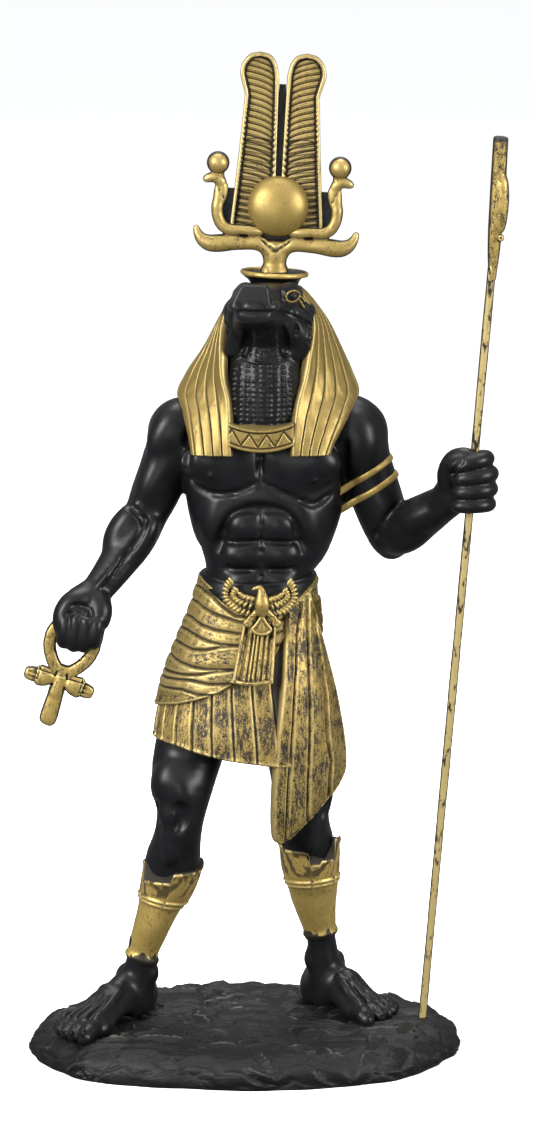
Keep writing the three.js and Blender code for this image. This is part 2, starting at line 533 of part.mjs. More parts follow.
// The crown stands in its own frame: x across, z up from the cap, leaning a little to the figure's left.
function crownForms() {
  const drawnHeight = 63.2;
  const share = crownHeight / drawnHeight;
  const stem = loft([[0, 0, -2, 3.6, 2.8], [0, 0, 1, 3, 2.5], [0, 0, 4.6, 3.2, 2.6], [0, 0, 7.6, 6, 2.4]],
    { sides: 12, steps: 1 });
  const horns = [-1, 1].map((side) => rod([
    [side * -1, 0, 5.4, 1.8], [side * 4.4, 0, 7.2, 1.9], [side * 9.4, 0, 6.9, 2.1], [side * 15.6, 0, 6, 2.4],
    [side * 20, 0, 6.6, 1.8], [side * 22.8, 0, 9, 1.1], [side * 23.6, 0, 11.2, 0.5],
  ], { sides: 7, steps: 1, across: Z }));
  const plumes = [-1, 1].map((side) => {
    const shape = new THREE.Shape();
    shape.moveTo(side * 13.9, 10);
    shape.lineTo(side * 11, 51);
    shape.bezierCurveTo(side * 14.4, 57.6, side * 10.8, 63.2, side * 6.9, 63.2);
    shape.bezierCurveTo(side * 3.8, 63.2, side * 1.1, 60.2, side * 1.2, 56);
    shape.lineTo(side * 0.7, 10);
    const field = new THREE.Shape();
    field.moveTo(side * 12.3, 12);
    field.lineTo(side * 9.8, 51.6);
    field.quadraticCurveTo(side * 12.4, 61.8, side * 6.8, 61.8);
    field.quadraticCurveTo(side * 2.6, 61.2, side * 2.6, 55.6);
    field.lineTo(side * 2, 12);
    const blank = solid(plate(shape, 0.6, 2.8, 4));
    const recess = solid(plate(field, -0.4, 1.7, 2));
    const barbs = Array.from({ length: 6 }, (_, i) => {
      const height = 17 + i * 7;
      const slope = Math.atan2(4.2, 8) * side;
      const reach = 11.4 - 0.32 * i;
      const middle = side * (7.1 - 0.13 * i);
      return solid(new THREE.BoxGeometry(reach, 0.8, 1.9).rotateY(-slope).translate(middle, 1.2, height));
    });
    return barbs.reduce((whole, barb) => whole.add(barb), blank.subtract(recess));
  });
  const web = new THREE.BoxGeometry(4, 1.6, 50.6).translate(0, 1.8, 30.3);
  const disc = ball(0.2, -0.6, 18.4, discRadius, 4.2, discRadius, 14);
  const hub = new THREE.CylinderGeometry(discRadius, discRadius, 3, 14).translate(0.2, 1.5, 18.4);
  const cobras = [-1, 1].flatMap((side) => [
    rod([
      [side * 2, 0.4, 11, 1.2], [side * 9, 0.4, 11, 1.5], [side * 14.4, 0.4, 12, 1.5], [side * 17.4, 0.2, 15.6, 1.7],
      [side * 17.4, 0, 20.6, 2], [side * 16.4, -0.4, 24.6, 1.7], [side * 18, -0.8, 26.4, 1.3],
      [side * 20.6, -1.2, 26.6, 0.9],
    ], { sides: 6, steps: 1, across: Y }),
    ball(side * 17.9, 0, 30.2, 3.3, 3.3, 3.3, 8),
  ]);
  const rigid = join([stem, ...horns, web, disc, hub, ...cobras]);
  return plumes.reduce((whole, plume) => whole.add(plume), rigid).scale([share, share, share]);
}

function crown() {
  const lean = 2.6;
  const foot = solid(new THREE.BoxGeometry(80, 40, 20).translate(0, 0, -10));
  const seat = placeOnBase(capCentre);
  return crownForms().rotate([0, lean, 0]).subtract(foot).translate([seat.x, seat.y, seat.z]);
}

// The staff runs from its socket in the base through the left fist to a forked head with a drooping muzzle.
function staff(radius, headScale = 1) {
  const foot = new THREE.Vector3(staffFoot.x, staffFoot.y, baseThickness);
  const grip = placeOnBase(leftFist);
  const length = foot.distanceTo(grip) + staffAboveFist + socketDepth;
  const headStart = length - staffHeadLength;
  const shaft = rod([[0, 0, 0, radius], [0, 0, headStart * 0.5, radius], [0, 0, headStart + 2, radius]], { sides: 10 });
  const top = [
    loft([
      [0, 0, headStart - 3, radius, radius], [0, 0.2, headStart + 4, 1.5, 2], [0.2, 0.4, headStart + 14, 1.8, 2.2],
      [-0.3, 1, headStart + 25, 1.9, 2], [-0.5, 1.4, length, 2.1, 2.2],
    ], { sides: 10, steps: 1 }),
    rod([
      [0.4, -0.6, headStart + 24.6, 1.6], [1.1, -2.6, headStart + 21.6, 1.6], [1.5, -4.4, headStart + 16, 1.4],
      [1.5, -5, headStart + 10.4, 1],
    ], { sides: 7, across: X }),
  ];
  const whole = join(headScale ? [shaft, ...top] : [shaft]);
  const axis = grip.clone().sub(foot).normalize();
  const turn = new THREE.Matrix4().makeRotationFromQuaternion(new THREE.Quaternion().setFromUnitVectors(Z, axis));
  turn.setPosition(foot.clone().addScaledVector(axis, -socketDepth));
  return whole.transform(turn.elements);
}

// The ankh lies in a plane that faces forward; its own frame has z up the stem, 0 where the arms cross.
function ankh(grow = 0) {
  const drawnLength = 34;
  const share = ankhLength / drawnLength;
  const [loopFoot, loopHeight, loopHalf] = [1.9, 16.6, 7.7];
  const strand = 1.75 + grow;
  const drop = (a) => new THREE.Vector2(
    loopHalf * Math.sin(a) * Math.sqrt(Math.max(0, Math.sin(a / 2))),
    loopFoot + loopHeight * (1 - Math.cos(a)) / 2,
  );
  const loop = reshape(new THREE.TorusGeometry(1, 0.5, 6, 18), (v) => {
    const turn = Math.atan2(v.x, -v.y);
    const a = turn < 0 ? turn + 2 * Math.PI : turn;
    const along = drop(a + 0.01).sub(drop(a)).normalize();
    const off = (Math.hypot(v.x, v.y) - 1) * 2 * strand;
    const at = drop(a);
    v.set(at.x + along.y * off, -v.z * (ankhThickness + 2 * grow), at.y - along.x * off);
  });
  const thick = ankhThickness / 2;
  const stem = loft([
    [0.2, 0, -13.8, 1.8, 1.2], [0.3, 0, -12.8, 3, thick], [0.2, 0, -6, 2.7, thick], [0, 0, 2.6, 2, thick],
  ], { sides: 6, steps: 1 });
  const half = ankhCrossLength / 2;
  const cross = loft([
    [-half, 0, -1.1, 2.2, 1.4], [-0.64 * half, 0, -1, 2.2, 1.4], [-0.62 * half, 0, -0.9, 3, 1.8], [0, 0, 0, 1.8, 1.4],
    [0.62 * half, 0, -0.9, 3, 1.8], [0.64 * half, 0, -1, 2.2, 1.4], [half, 0, -1.1, 2.2, 1.4],
  ], { sides: 7, steps: 1, across: Z });
  const forms = grow ? [loop] : [loop, stem, cross];
  const tilt = 18.5;
  const grip = placeOnBase(rightFist);
  const crossing = grip.clone().add(new THREE.Vector3(-6.2, -1, -15.6));
  return join(forms).scale([share, 1, share]).rotate([0, tilt, 0]).translate([crossing.x, crossing.y, crossing.z]);
}

function figure() {
  const forms = [
    ...legs(), ...feet(), ...greaves(), ...torso(), ...arms(), ...leftHand(), ...rightHand(), ...head(),
    ...collar(), ...armlets(), ...kilt(), ...belt(), ...falcon(),
  ].map((form) => solid(onBase(form)));
  const whole = forms.reduce((sum, form) => sum.add(form), headcloth()).add(solid(base()));
  return whole.subtract(staff(staffDiameter / 2 + fitGap, 0)).subtract(ankh(fitGap));
}

const sobek = new THREE.Group();
sobek.name = 'sobek_figurine';
sobek.add(
  mesh('figure', figure(), blackPaint),
  mesh('crown', crown(), goldPaint),
  mesh('staff', staff(staffDiameter / 2), goldPaint),
  mesh('ankh', ankh(), goldPaint),
);

export default sobek;
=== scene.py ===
"""Sobek, the crocodile-headed god of the Nile: a cold-cast resin figurine in gloss black and antique gold.

Shapes are sculpted in millimetres, with z = 0 under the soles of the feet, and turn into metres when a
piece is made. The figure faces -Y, and left and right in the comments are the figure's own.
"""

import math

import bpy
import numpy as np
import openvdb
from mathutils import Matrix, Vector


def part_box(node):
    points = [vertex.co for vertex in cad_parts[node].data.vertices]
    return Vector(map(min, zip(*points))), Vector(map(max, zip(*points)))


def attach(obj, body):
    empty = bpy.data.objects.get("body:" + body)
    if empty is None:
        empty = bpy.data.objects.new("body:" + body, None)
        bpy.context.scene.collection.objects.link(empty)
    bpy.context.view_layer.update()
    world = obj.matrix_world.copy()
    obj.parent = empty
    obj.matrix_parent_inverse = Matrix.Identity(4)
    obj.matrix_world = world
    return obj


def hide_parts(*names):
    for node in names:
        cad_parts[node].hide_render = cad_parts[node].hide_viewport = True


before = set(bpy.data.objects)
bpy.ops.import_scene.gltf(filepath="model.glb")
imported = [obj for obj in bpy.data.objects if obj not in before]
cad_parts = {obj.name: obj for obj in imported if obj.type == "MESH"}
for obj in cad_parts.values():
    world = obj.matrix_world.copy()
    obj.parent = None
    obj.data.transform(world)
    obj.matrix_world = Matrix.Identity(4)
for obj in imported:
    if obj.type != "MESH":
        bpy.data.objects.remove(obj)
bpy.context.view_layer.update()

MILLIMETRE = 0.001  # in metres
SOLES = 9.0  # height of the base under the feet
crown_low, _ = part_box("crown")
CAP_TOP = crown_low[2] / MILLIMETRE - SOLES
BASE_LENGTH, BASE_WIDTH = 131, 91
FRONT, BEHIND = (0, 1, 0), (0, -1, 0)  # the way to go to meet the front of the figure, and its back
UP, DOWN = (0, 0, 1), (0, 0, -1)
TURN = 2 * math.pi
FEW_TRIANGLES = 12000  # a piece with no more than these keeps them all
SHARE_KEPT = 0.5  # of the triangles of the others


# Small functions on arrays


def smooth(x, low, high):
    """Rises from 0 to 1 as x goes from low to high."""
    t = np.clip((x - low) / (high - low), 0, 1)
    return t * t * (3 - 2 * t)


def hill(distance, reach):
    """1 at no distance, falling to 0 on both sides."""
    return np.exp(-((distance / reach) ** 2))


def mix(a, b, t):
    """a at t = 0, b at t = 1, and between them in proportion."""
    return a + (b - a) * t


def unit(vectors):
    """Vectors of the same directions, one long."""
    return vectors / np.maximum(np.linalg.norm(vectors, axis=-1, keepdims=True), 1e-9)


def curve(points, steps=8):
    """Rows of numbers along a smooth curve through the given rows."""
    rows = np.array(points, float)
    padded = np.vstack([2 * rows[0] - rows[1], rows, 2 * rows[-1] - rows[-2]])
    t = np.arange(steps)[:, None] / steps
    made = []
    for a, b, c, d in zip(padded, padded[1:], padded[2:], padded[3:]):
        bend = 2 * a - 5 * b + 4 * c - d + t * (3 * (b - c) + d - a)
        made.append(b + 0.5 * t * (c - a + t * bend))
    return np.vstack([*made, rows[-1:]])


def at(rows, t):
    """The row at each share t of the way along a list of rows."""
    place = np.clip(t, 0, 1) * (len(rows) - 1)
    low = np.minimum(place.astype(int), len(rows) - 2)
    return mix(rows[low], rows[low + 1], (place - low)[..., None])


def noise(points, size, seed=0):
    """Smooth noise from -1 to 1, with lumps of about the given size."""
    place = np.asarray(points) / size
    cell = np.floor(place)
    share = place - cell
    share = share * share * (3 - 2 * share)
    total = 0
    for corner in np.ndindex(2, 2, 2):
        near = np.prod(np.where(corner, share, 1 - share), axis=-1)
        total = total + near * np.modf(np.sin((cell + corner) @ (12.99, 78.23, 37.72) + seed) * 43758.5)[0]
    return total


def layered_noise(points, size, layers=3, seed=0):
    """Noise over noise, each layer of half the size and height of the one before."""
    return sum(noise(points, np.asarray(size) / 2**i, seed + i) / 2**i for i in range(layers))


# Meshes


def grid_faces(rows, columns, closed):
    """The quads of a grid of points, with its last column joined to the first where it is closed."""
    index = np.arange(rows * columns).reshape(rows, columns)
    right = np.roll(index, -1, axis=1) if closed else index[:, 1:]
    left = index if closed else index[:, :-1]
    return np.stack([left[:-1], right[:-1], right[1:], left[1:]], axis=-1).reshape(-1, 4).tolist()


def closed_form(grid):
    """A closed form from a grid of points: rings, each joined round, with a face over both end rings."""
    rows, columns = grid.shape[:2]
    faces = grid_faces(rows, columns, True)
    faces.append(list(range(columns))[::-1])
    faces.append(list(range((rows - 1) * columns, rows * columns)))
    return grid.reshape(-1, 3), faces


def slab(front, back):
    """A closed plate between two grids of points."""
    return closed_form(np.concatenate([front, back[:, ::-1]], axis=1))


def together(*forms):
    """One form from several."""
    points, faces, count = [], [], 0
    for some_points, some_faces in forms:
        points.append(some_points)
        faces += [[i + count for i in face] for face in some_faces]
        count += len(some_points)
    return np.vstack(points), faces


def frames(places, across):
    """The directions along a path, to its side (the nearest to `across`) and to its front."""
    along = unit(np.gradient(places, axis=0))
    across = np.broadcast_to(np.array(across, float), places.shape)
    side = unit(across - along * np.sum(along * across, axis=-1, keepdims=True))
    return along, side, np.cross(side, along)


def loft(stations, turns, rings, across=(1, 0, 0), carve=None, round_ends=(1, 1)):
    """An oval tube through stations [x, y, z, half width, half depth], the half width along `across`.

    carve(points) gives how far each point moves outwards.
    """
    rows = at(curve(stations, 16), np.linspace(0, 1, rings))
    along, side, front = frames(rows[:, :3], across)
    angle = np.arange(turns) * TURN / turns
    out = side[:, None] * (rows[:, 3:4] * np.sin(angle))[..., None]
    out = out + front[:, None] * (rows[:, 4:5] * np.cos(angle))[..., None]
    grid = rows[:, None, :3] + out
    if carve is not None:
        grid = grid + unit(out) * carve(grid)[..., None]
    for end, sign in ((0, -1), (-1, 1)):
        middle = rows[end, :3]
        dome = min(rows[end, 3:5]) * round_ends[end]
        rise = np.sin(np.linspace(0, TURN / 4, 6)[1:])
        shrink = np.sqrt(np.maximum(1 - rise**2, 0.0004))
        cap = middle + (grid[end] - middle) * shrink[:, None, None]
        cap = cap + sign * along[end] * dome * rise[:, None, None]
        grid = np.concatenate([cap[::-1], grid] if sign < 0 else [grid, cap])
    return closed_form(grid)


def rod(points, radius, turns, rings, across):
    """A round rod along points."""
    return loft([[*point, radius, radius] for point in points], turns, rings, across)


def quad_edges(quads):
    """Pairs of neighbouring vertices, both ways round."""
    pairs = np.vstack([quads[:, [i, (i + 1) % 4]] for i in range(4)])
    return np.vstack([pairs, pairs[:, ::-1]])


def relax(values, pairs, rounds):
    """Averages values over neighbouring vertices, again and again."""
    count = np.maximum(np.bincount(pairs[:, 0], minlength=len(values)), 1)
    for _ in range(rounds):
        columns = [np.bincount(pairs[:, 0], column[pairs[:, 1]], len(values)) / count for column in values.T]
        values = 0.5 * values + 0.5 * np.stack(columns, axis=-1)
    return values


def recess(points, mesh, rounds):
    """How deep each vertex lies under the general surface, in millimetres."""
    pairs = np.empty(len(mesh.edges) * 2, int)
    mesh.edges.foreach_get("vertices", pairs)
    pairs = pairs.reshape(-1, 2)
    pairs = np.vstack([pairs, pairs[:, ::-1]])
    normals = np.empty(len(points) * 3)
    mesh.vertices.foreach_get("normal", normals)
    away = relax(points, pairs, rounds) - points
    return np.sum(away * normals.reshape(-1, 3), axis=-1)


def thin_out(made):
    """Fewer triangles: plain surfaces give up most of theirs, and carving keeps its own."""
    thinner = made.modifiers.new("thinner", "DECIMATE")
    thinner.ratio = SHARE_KEPT
    graph = bpy.context.evaluated_depsgraph_get()
    dense = made.data
    made.data = bpy.data.meshes.new_from_object(
        made.evaluated_get(graph), preserve_all_data_layers=True, depsgraph=graph)
    made.modifiers.clear()
    made.data.name = made.name
    bpy.data.meshes.remove(dense)


def piece(name, form, paint, node, wash_rounds=12, bare_and_painted_shade=None):
    """Makes one piece of the figurine, which stands for a node of the frame.

    The paint finds the recesses by averaging the surface over `wash_rounds`, and the bare mask is where the
    gold is left off; on the skirt it also marks black painted in as painted shade.
    """
    points, faces = form
    mesh = bpy.data.meshes.new(name)
    mesh.from_pydata(((points + (0, 0, SOLES)) * MILLIMETRE).tolist(), [], faces)
    triangles = mesh.loop_triangles
    mesh.calc_loop_triangles()
    corners = np.empty(len(triangles) * 3, int)
    triangles.foreach_get("vertices", corners)
    a, b, c = points[corners.reshape(-1, 3)].transpose(1, 0, 2)
    if np.sum(a * np.cross(b, c)) < 0:
        mesh.flip_normals()
    if wash_rounds:
        depth = recess(points, mesh, wash_rounds)
        wash = mesh.attributes.new("recess", "FLOAT", "POINT")
        wash.data.foreach_set("value", depth.astype(np.float32))
    if bare_and_painted_shade is not None:
        bare_and_shade_layer = mesh.attributes.new("bare_and_painted_shade", "FLOAT", "POINT")
        bare_and_shade_layer.data.foreach_set("value", bare_and_painted_shade.astype(np.float32))
    mesh.shade_smooth()
    mesh.materials.append(paint)
    made = bpy.data.objects.new(name, mesh)
    bpy.context.scene.collection.objects.link(made)
    if len(corners) > 3 * FEW_TRIANGLES:
        thin_out(made)
    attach(made, "root")
    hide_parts(node)


class Clay:
    """A block to sculpt in: a grid of distances to the surface, in millimetres, below 0 inside the form."""

    FAR = 6.0
    STEPS = 400  # of half a cell, before a point gives up the way to the surface

    def __init__(self, low, high, cell):
        self.low = np.array(low, float)
        self.cell = cell
        self.size = np.ceil((np.array(high) - self.low) / cell).astype(int) + 1
        self.field = np.full(self.size, self.FAR, np.float32)

    def window(self, low, high):
        """The part of the grid between two corners, with its x, y and z."""
        first = np.clip(np.floor((low - self.low) / self.cell).astype(int), 0, self.size - 1)
        last = np.clip(np.ceil((high - self.low) / self.cell).astype(int) + 1, 1, self.size)
        axes = [self.low[i] + self.cell * np.arange(first[i], last[i]) for i in range(3)]
        grid = np.meshgrid(*(a.astype(np.float32) for a in axes), indexing="ij", sparse=True)
        return tuple(slice(a, b) for a, b in zip(first, last)), grid

    @staticmethod
    def blended(a, b, reach):
        """The lower of two distances, rounded where they meet."""
        if reach <= 0:
            return np.minimum(a, b)
        near = np.maximum(reach - np.abs(a - b), 0) / reach
        return np.minimum(a, b) - near * near * (reach / 4)

    def add(self, cut, distance, blend):
        """Adds a form, given by its distances in a window of the grid."""
        self.field[cut] = self.blended(self.field[cut], distance, blend)

    def take(self, cut, distance, blend):
        """Cuts a form away."""
        self.field[cut] = -self.blended(-self.field[cut], distance, blend)

    def tube(self, stations, blend=1.0, across=(1, 0, 0), steps=3, square=2.0):
        """Adds an oval tube through stations [x, y, z, half width, half depth]."""
        rows = curve(stations, steps)
        places, girths = rows[:, :3], rows[:, 3:]
        along, side, front = frames(places, across)
        reach = girths.max() + blend + 2 * self.cell
        whole, _ = self.window(places.min(axis=0) - reach, places.max(axis=0) + reach)
        start = np.array([s.start for s in whole])
        tube = np.full([s.stop - s.start for s in whole], self.FAR, np.float32)
        for i in range(len(rows) - 1):
            margin = girths[i:i + 2].max() + blend + 2 * self.cell
            ends = places[i:i + 2]
            cut, (x, y, z) = self.window(ends.min(axis=0) - margin, ends.max(axis=0) + margin)
            step = places[i + 1] - places[i]
            d = [x - places[i][0], y - places[i][1], z - places[i][2]]
            t = np.clip(sum(d[n] * step[n] for n in range(3)) / (step @ step), 0, 1)
            d = [d[n] - t * step[n] for n in range(3)]
            parts = [sum(d[n] * mix(f[i][n], f[i + 1][n], t) for n in range(3)) for f in (side, front, along)]
            wide = mix(girths[i, 0], girths[i + 1, 0], t)
            deep = mix(girths[i, 1], girths[i + 1, 1], t)
            girth = [wide, deep, np.minimum(wide, deep)]
            if square == 2.0:
                ratio = np.sqrt(sum((p / g) ** 2 for p, g in zip(parts, girth))) + 1e-6
            else:
                ratio = sum(np.abs(p / g) ** square for p, g in zip(parts, girth)) ** (1 / square) + 1e-6
            slope = np.sqrt(sum((p / (g * g)) ** 2 for p, g in zip(parts, girth))) + 1e-6
            distance = ratio * (ratio - 1) / slope
            inner = tuple(slice(s.start - o, s.stop - o) for s, o in zip(cut, start))
            tube[inner] = np.minimum(tube[inner], distance)
        self.add(whole, tube, blend)

    def blob(self, centre, radii, along=UP, blend=1.5, remove=False):
        """Adds an egg, its third radius along the given direction and its first across it, near X."""
        axis = unit(np.array(along, float))
        side = unit(np.cross((0, 1, 0), axis)) if abs(axis[1]) < 0.9 else np.array([1.0, 0, 0])
        front = np.cross(axis, side)
        radii = np.array(radii, float)
        reach = np.sqrt(sum((r * v) ** 2 for r, v in zip(radii, (side, front, axis)))) + blend + 2 * self.cell
        cut, (x, y, z) = self.window(centre - reach, centre + reach)
        d = [x - centre[0], y - centre[1], z - centre[2]]
        parts = [sum(d[n] * v[n] for n in range(3)) / r for v, r in zip((side, front, axis), radii)]
        ratio = np.sqrt(sum(p * p for p in parts)) + 1e-6
        slope = np.sqrt(sum((p / r) ** 2 for p, r in zip(parts, radii))) + 1e-6
        (self.take if remove else self.add)(cut, ratio * (ratio - 1) / slope, blend)

    def strand(self, points, radius, blend=0.6, remove=False, steps=6):
        """Adds or takes away a round strand; a radius for each point, or one for all."""
        radii = np.broadcast_to(radius, len(points))
        rows = curve([[*p, r] for p, r in zip(points, radii)], steps)
        margin = rows[:, 3].max() + blend + 2 * self.cell
        for a, b in zip(rows, rows[1:]):
            cut, (x, y, z) = self.window(np.minimum(a, b)[:3] - margin, np.maximum(a, b)[:3] + margin)
            step = b[:3] - a[:3]
            d = [x - a[0], y - a[1], z - a[2]]
            t = np.clip(sum(d[n] * step[n] for n in range(3)) / max(step @ step, 1e-9), 0, 1)
            distance = np.sqrt(sum((d[n] - t * step[n]) ** 2 for n in range(3))) - mix(a[3], b[3], t)
            (self.take if remove else self.add)(cut, distance, blend)

    def shave(self, point, facing, blend=0.5, low=None, high=None):
        """Cuts off what lies beyond a plane, inside two corners where they are given."""
        whole = self.low + self.cell * (self.size - 1)
        cut, (x, y, z) = self.window(self.low if low is None else np.array(low, float),
                                     whole if high is None else np.array(high, float))
        facing = unit(np.array(facing, float))
        plane = (x - point[0]) * facing[0] + (y - point[1]) * facing[1] + (z - point[2]) * facing[2]
        self.take(cut, -plane.astype(np.float32), blend)

    def drop(self, points, direction=FRONT):
        """Moves points along a direction until they meet the surface."""
        points = np.array(points, float)
        step = unit(np.array(direction, float)) * self.cell * 0.5
        for i, point in enumerate(points):
            for _ in range(self.STEPS):
                index = np.clip(np.round((point - self.low) / self.cell).astype(int), 0, self.size - 1)
                if self.field[tuple(index)] < 0:
                    break
                point = point + step
            points[i] = point
        return points

    def on_front(self, line, start=-34.0):
        """Points [x, z] laid on the surface from in front."""
        return self.drop([[x, start, z] for x, z in line])

    def groove(self, line, radius, blend=0.8, direction=FRONT, start=34.0, remove=True):
        """Presses a groove along points [x, y, z] that are first laid on the surface."""
        radii = np.broadcast_to(radius, len(line))
        fine = curve([[*p, r] for p, r in zip(line, radii)], 4)
        away = unit(np.array(direction, float)) * start
        self.strand(self.drop(fine[:, :3] - away, direction), fine[:, 3], blend, remove, steps=1)

    def ridge(self, line, radius, blend=0.8, direction=FRONT):
        """Lays a ridge along points, as groove does."""
        self.groove(line, radius, blend, direction, remove=False)

    def pad(self, point, radii, proud, along=UP, blend=1.5, direction=FRONT, start=34.0):
        """Adds an egg that stands this proud of the surface at a point, seen along a direction."""
        way = unit(np.array(direction, float))
        met = self.drop([np.array(point, float) - way * start], direction)[0]
        depth = np.sqrt(sum((r * abs(w)) ** 2 for r, w in zip(radii, way)))
        self.blob(met + way * (depth - proud), radii, along, blend)

    def form(self, smoothing=2):
        """The surface as points and quads."""
        grid = openvdb.FloatGrid(self.FAR)
        grid.copyFromArray(np.clip(self.field, -self.FAR, self.FAR))
        points, quads = grid.convertToQuads(0.0)
        points = relax(points.astype(float), quad_edges(quads), smoothing)
        return points * self.cell + self.low, quads.tolist()


# Paints


class Wire:
    """An output socket of a paint; arithmetic on it adds Math nodes."""

    def __init__(self, paint, socket):
        self.paint = paint
        self.socket = socket

    def math(self, operation, *values):
        return self.paint.node("ShaderNodeMath", {"operation": operation}, dict(enumerate(values)))

    def __add__(self, other):
        return self.math("ADD", self, other)

    def __sub__(self, other):
        return self.math("SUBTRACT", self, other)

    def __rsub__(self, other):
        return self.math("SUBTRACT", other, self)

    def __mul__(self, other):
        return self.math("MULTIPLY", self, other)

    __radd__ = __add__
    __rmul__ = __mul__

    def smooth(self, low, high):
        """0 at low, 1 at high, and smooth between them."""
        settings = {"interpolation_type": "SMOOTHSTEP"}
        return self.paint.node("ShaderNodeMapRange", settings, {0: self, 1: low, 2: high})

    def most(self, other):
        return self.math("MAXIMUM", self, other)


class Paint:
    """A material made of nodes, with one Principled shader."""

    def __init__(self, name, **sockets):
        self.material = bpy.data.materials.new(name)
        self.material.use_nodes = True
        self.tree = self.material.node_tree
        self.shader = self.tree.nodes["Principled BSDF"]
        self.place = self.node("ShaderNodeTexCoord", output="Object")
        self.set(**sockets)

    def node(self, kind, settings=None, inputs=None, output=0):
        made = self.tree.nodes.new(kind)
        for name, value in (settings or {}).items():
            setattr(made, name, value)
        for name, value in (inputs or {}).items():
            self.plug(made.inputs[name], value)
        return Wire(self, made.outputs[output])

    def plug(self, socket, value):
        if isinstance(value, Wire):
            self.tree.links.new(value.socket, socket)
        else:
            socket.default_value = value

    def set(self, **sockets):
        for name, value in sockets.items():
            self.plug(self.shader.inputs[name.replace("_", " ").title().replace("Ior", "IOR")], value)

    def noise(self, scale, detail=4.0, stretch=(1, 1, 1), roughness=0.55):
        """Noise from 0 to 1; scale counts its lumps in a metre."""
        place = self.node("ShaderNodeVectorMath", {"operation": "MULTIPLY"}, {0: self.place, 1: stretch})
        settings = {"noise_dimensions": "3D"}
        inputs = {"Vector": place, "Scale": scale, "Detail": detail, "Roughness": roughness}
        return self.node("ShaderNodeTexNoise", settings, inputs)

    def facing(self, axis):
        """How far the surface faces along an axis, from -1 to 1."""
        normal = self.node("ShaderNodeNewGeometry", output="Normal")
        return self.node("ShaderNodeSeparateXYZ", None, {0: normal}, axis)

    def attribute(self, name):
        return self.node("ShaderNodeAttribute", {"attribute_name": name}, output="Fac")

    def blend(self, share, first, second):
        """A colour between two colours."""
        colours = {"Factor": share, 6: first, 7: second}
        return self.node("ShaderNodeMix", {"data_type": "RGBA"}, colours, output=2)

    def bump(self, height, distance, strength=1.0):
        inputs = {"Height": height, "Distance": distance, "Strength": strength}
        return self.node("ShaderNodeBump", None, inputs)


def black_gloss():
    """Sprayed black lacquer: nearly smooth, with dust nibs, faint brush drag and a few rubbed greys."""
    paint = Paint("black_gloss", specular_ior_level=0.17, ior=1.5)
    mottle = paint.noise(220, 3)
    drag = paint.noise(900, 4, (1, 1, 0.25))
    nibs = paint.noise(2600, 2).smooth(0.66, 0.74)
    rubbed = paint.noise(90, 5).smooth(0.6, 0.78) * drag.smooth(0.45, 0.7)
    colour = paint.blend(mottle, (0.0025, 0.0026, 0.0028, 1), (0.0055, 0.0058, 0.0064, 1))
    colour = paint.blend(rubbed * 0.35, colour, (0.05, 0.05, 0.055, 1))
    paint.set(
        base_color=colour,
        roughness=0.36 + 0.1 * (mottle - 0.5) + 0.15 * rubbed,
        normal=paint.bump(mottle * 0.5 + drag * 0.12 + nibs * 0.35, 0.00012, 0.5),
    )
    return paint.material


def black_hide():
    """The same black over scales and wrinkles, greyer on the ridges as a painted highlight and darkest in the
    recesses as painted shade.
    """
    paint = Paint("black_hide", specular_ior_level=0.17, ior=1.5)
    scales = paint.node("ShaderNodeTexVoronoi", {"feature": "F1"}, {"Vector": paint.place, "Scale": 950})
    drag = paint.noise(1200, 4)
    # greyer on the ridges and darker in the recesses: painted highlight and painted shade
    high = (0 - paint.attribute("recess")).smooth(-0.02, 0.16)
    colour = paint.blend(high, (0.0035, 0.0035, 0.0036, 1), (0.012, 0.012, 0.013, 1))
    paint.set(
        base_color=colour,
        roughness=0.28 + 0.14 * drag,
        normal=paint.bump(scales * 0.25 + drag * 0.4, 0.00018, 0.5),
    )
    return paint.material


def black_rock():
    """The base: matt charcoal, brown-grey on its high strokes as a painted highlight, with random dusty
    patches.
    """
    paint = Paint("black_rock", specular_ior_level=0.22, ior=1.45)
    grain = paint.noise(1500, 6, (0.6, 1, 1))
    broad = paint.noise(70, 4, (0.5, 1, 1))
    high = (0 - paint.attribute("recess")).smooth(0.05, 0.6)
    # brown-grey painted on the raised strokes is a painted highlight; the noise adds random dusty patches
    dust_and_highlight = (high * 0.8 + grain.smooth(0.5, 0.75) * 0.3 + broad.smooth(0.5, 0.8) * 0.2).smooth(0.25, 1.15)
    colour = paint.blend(dust_and_highlight, (0.003, 0.003, 0.003, 1), (0.055, 0.052, 0.048, 1))
    paint.set(
        base_color=colour,
        roughness=0.4 + 0.2 * grain - 0.06 * high,
        normal=paint.bump(grain, 0.0004, 0.55),
    )
    return paint.material


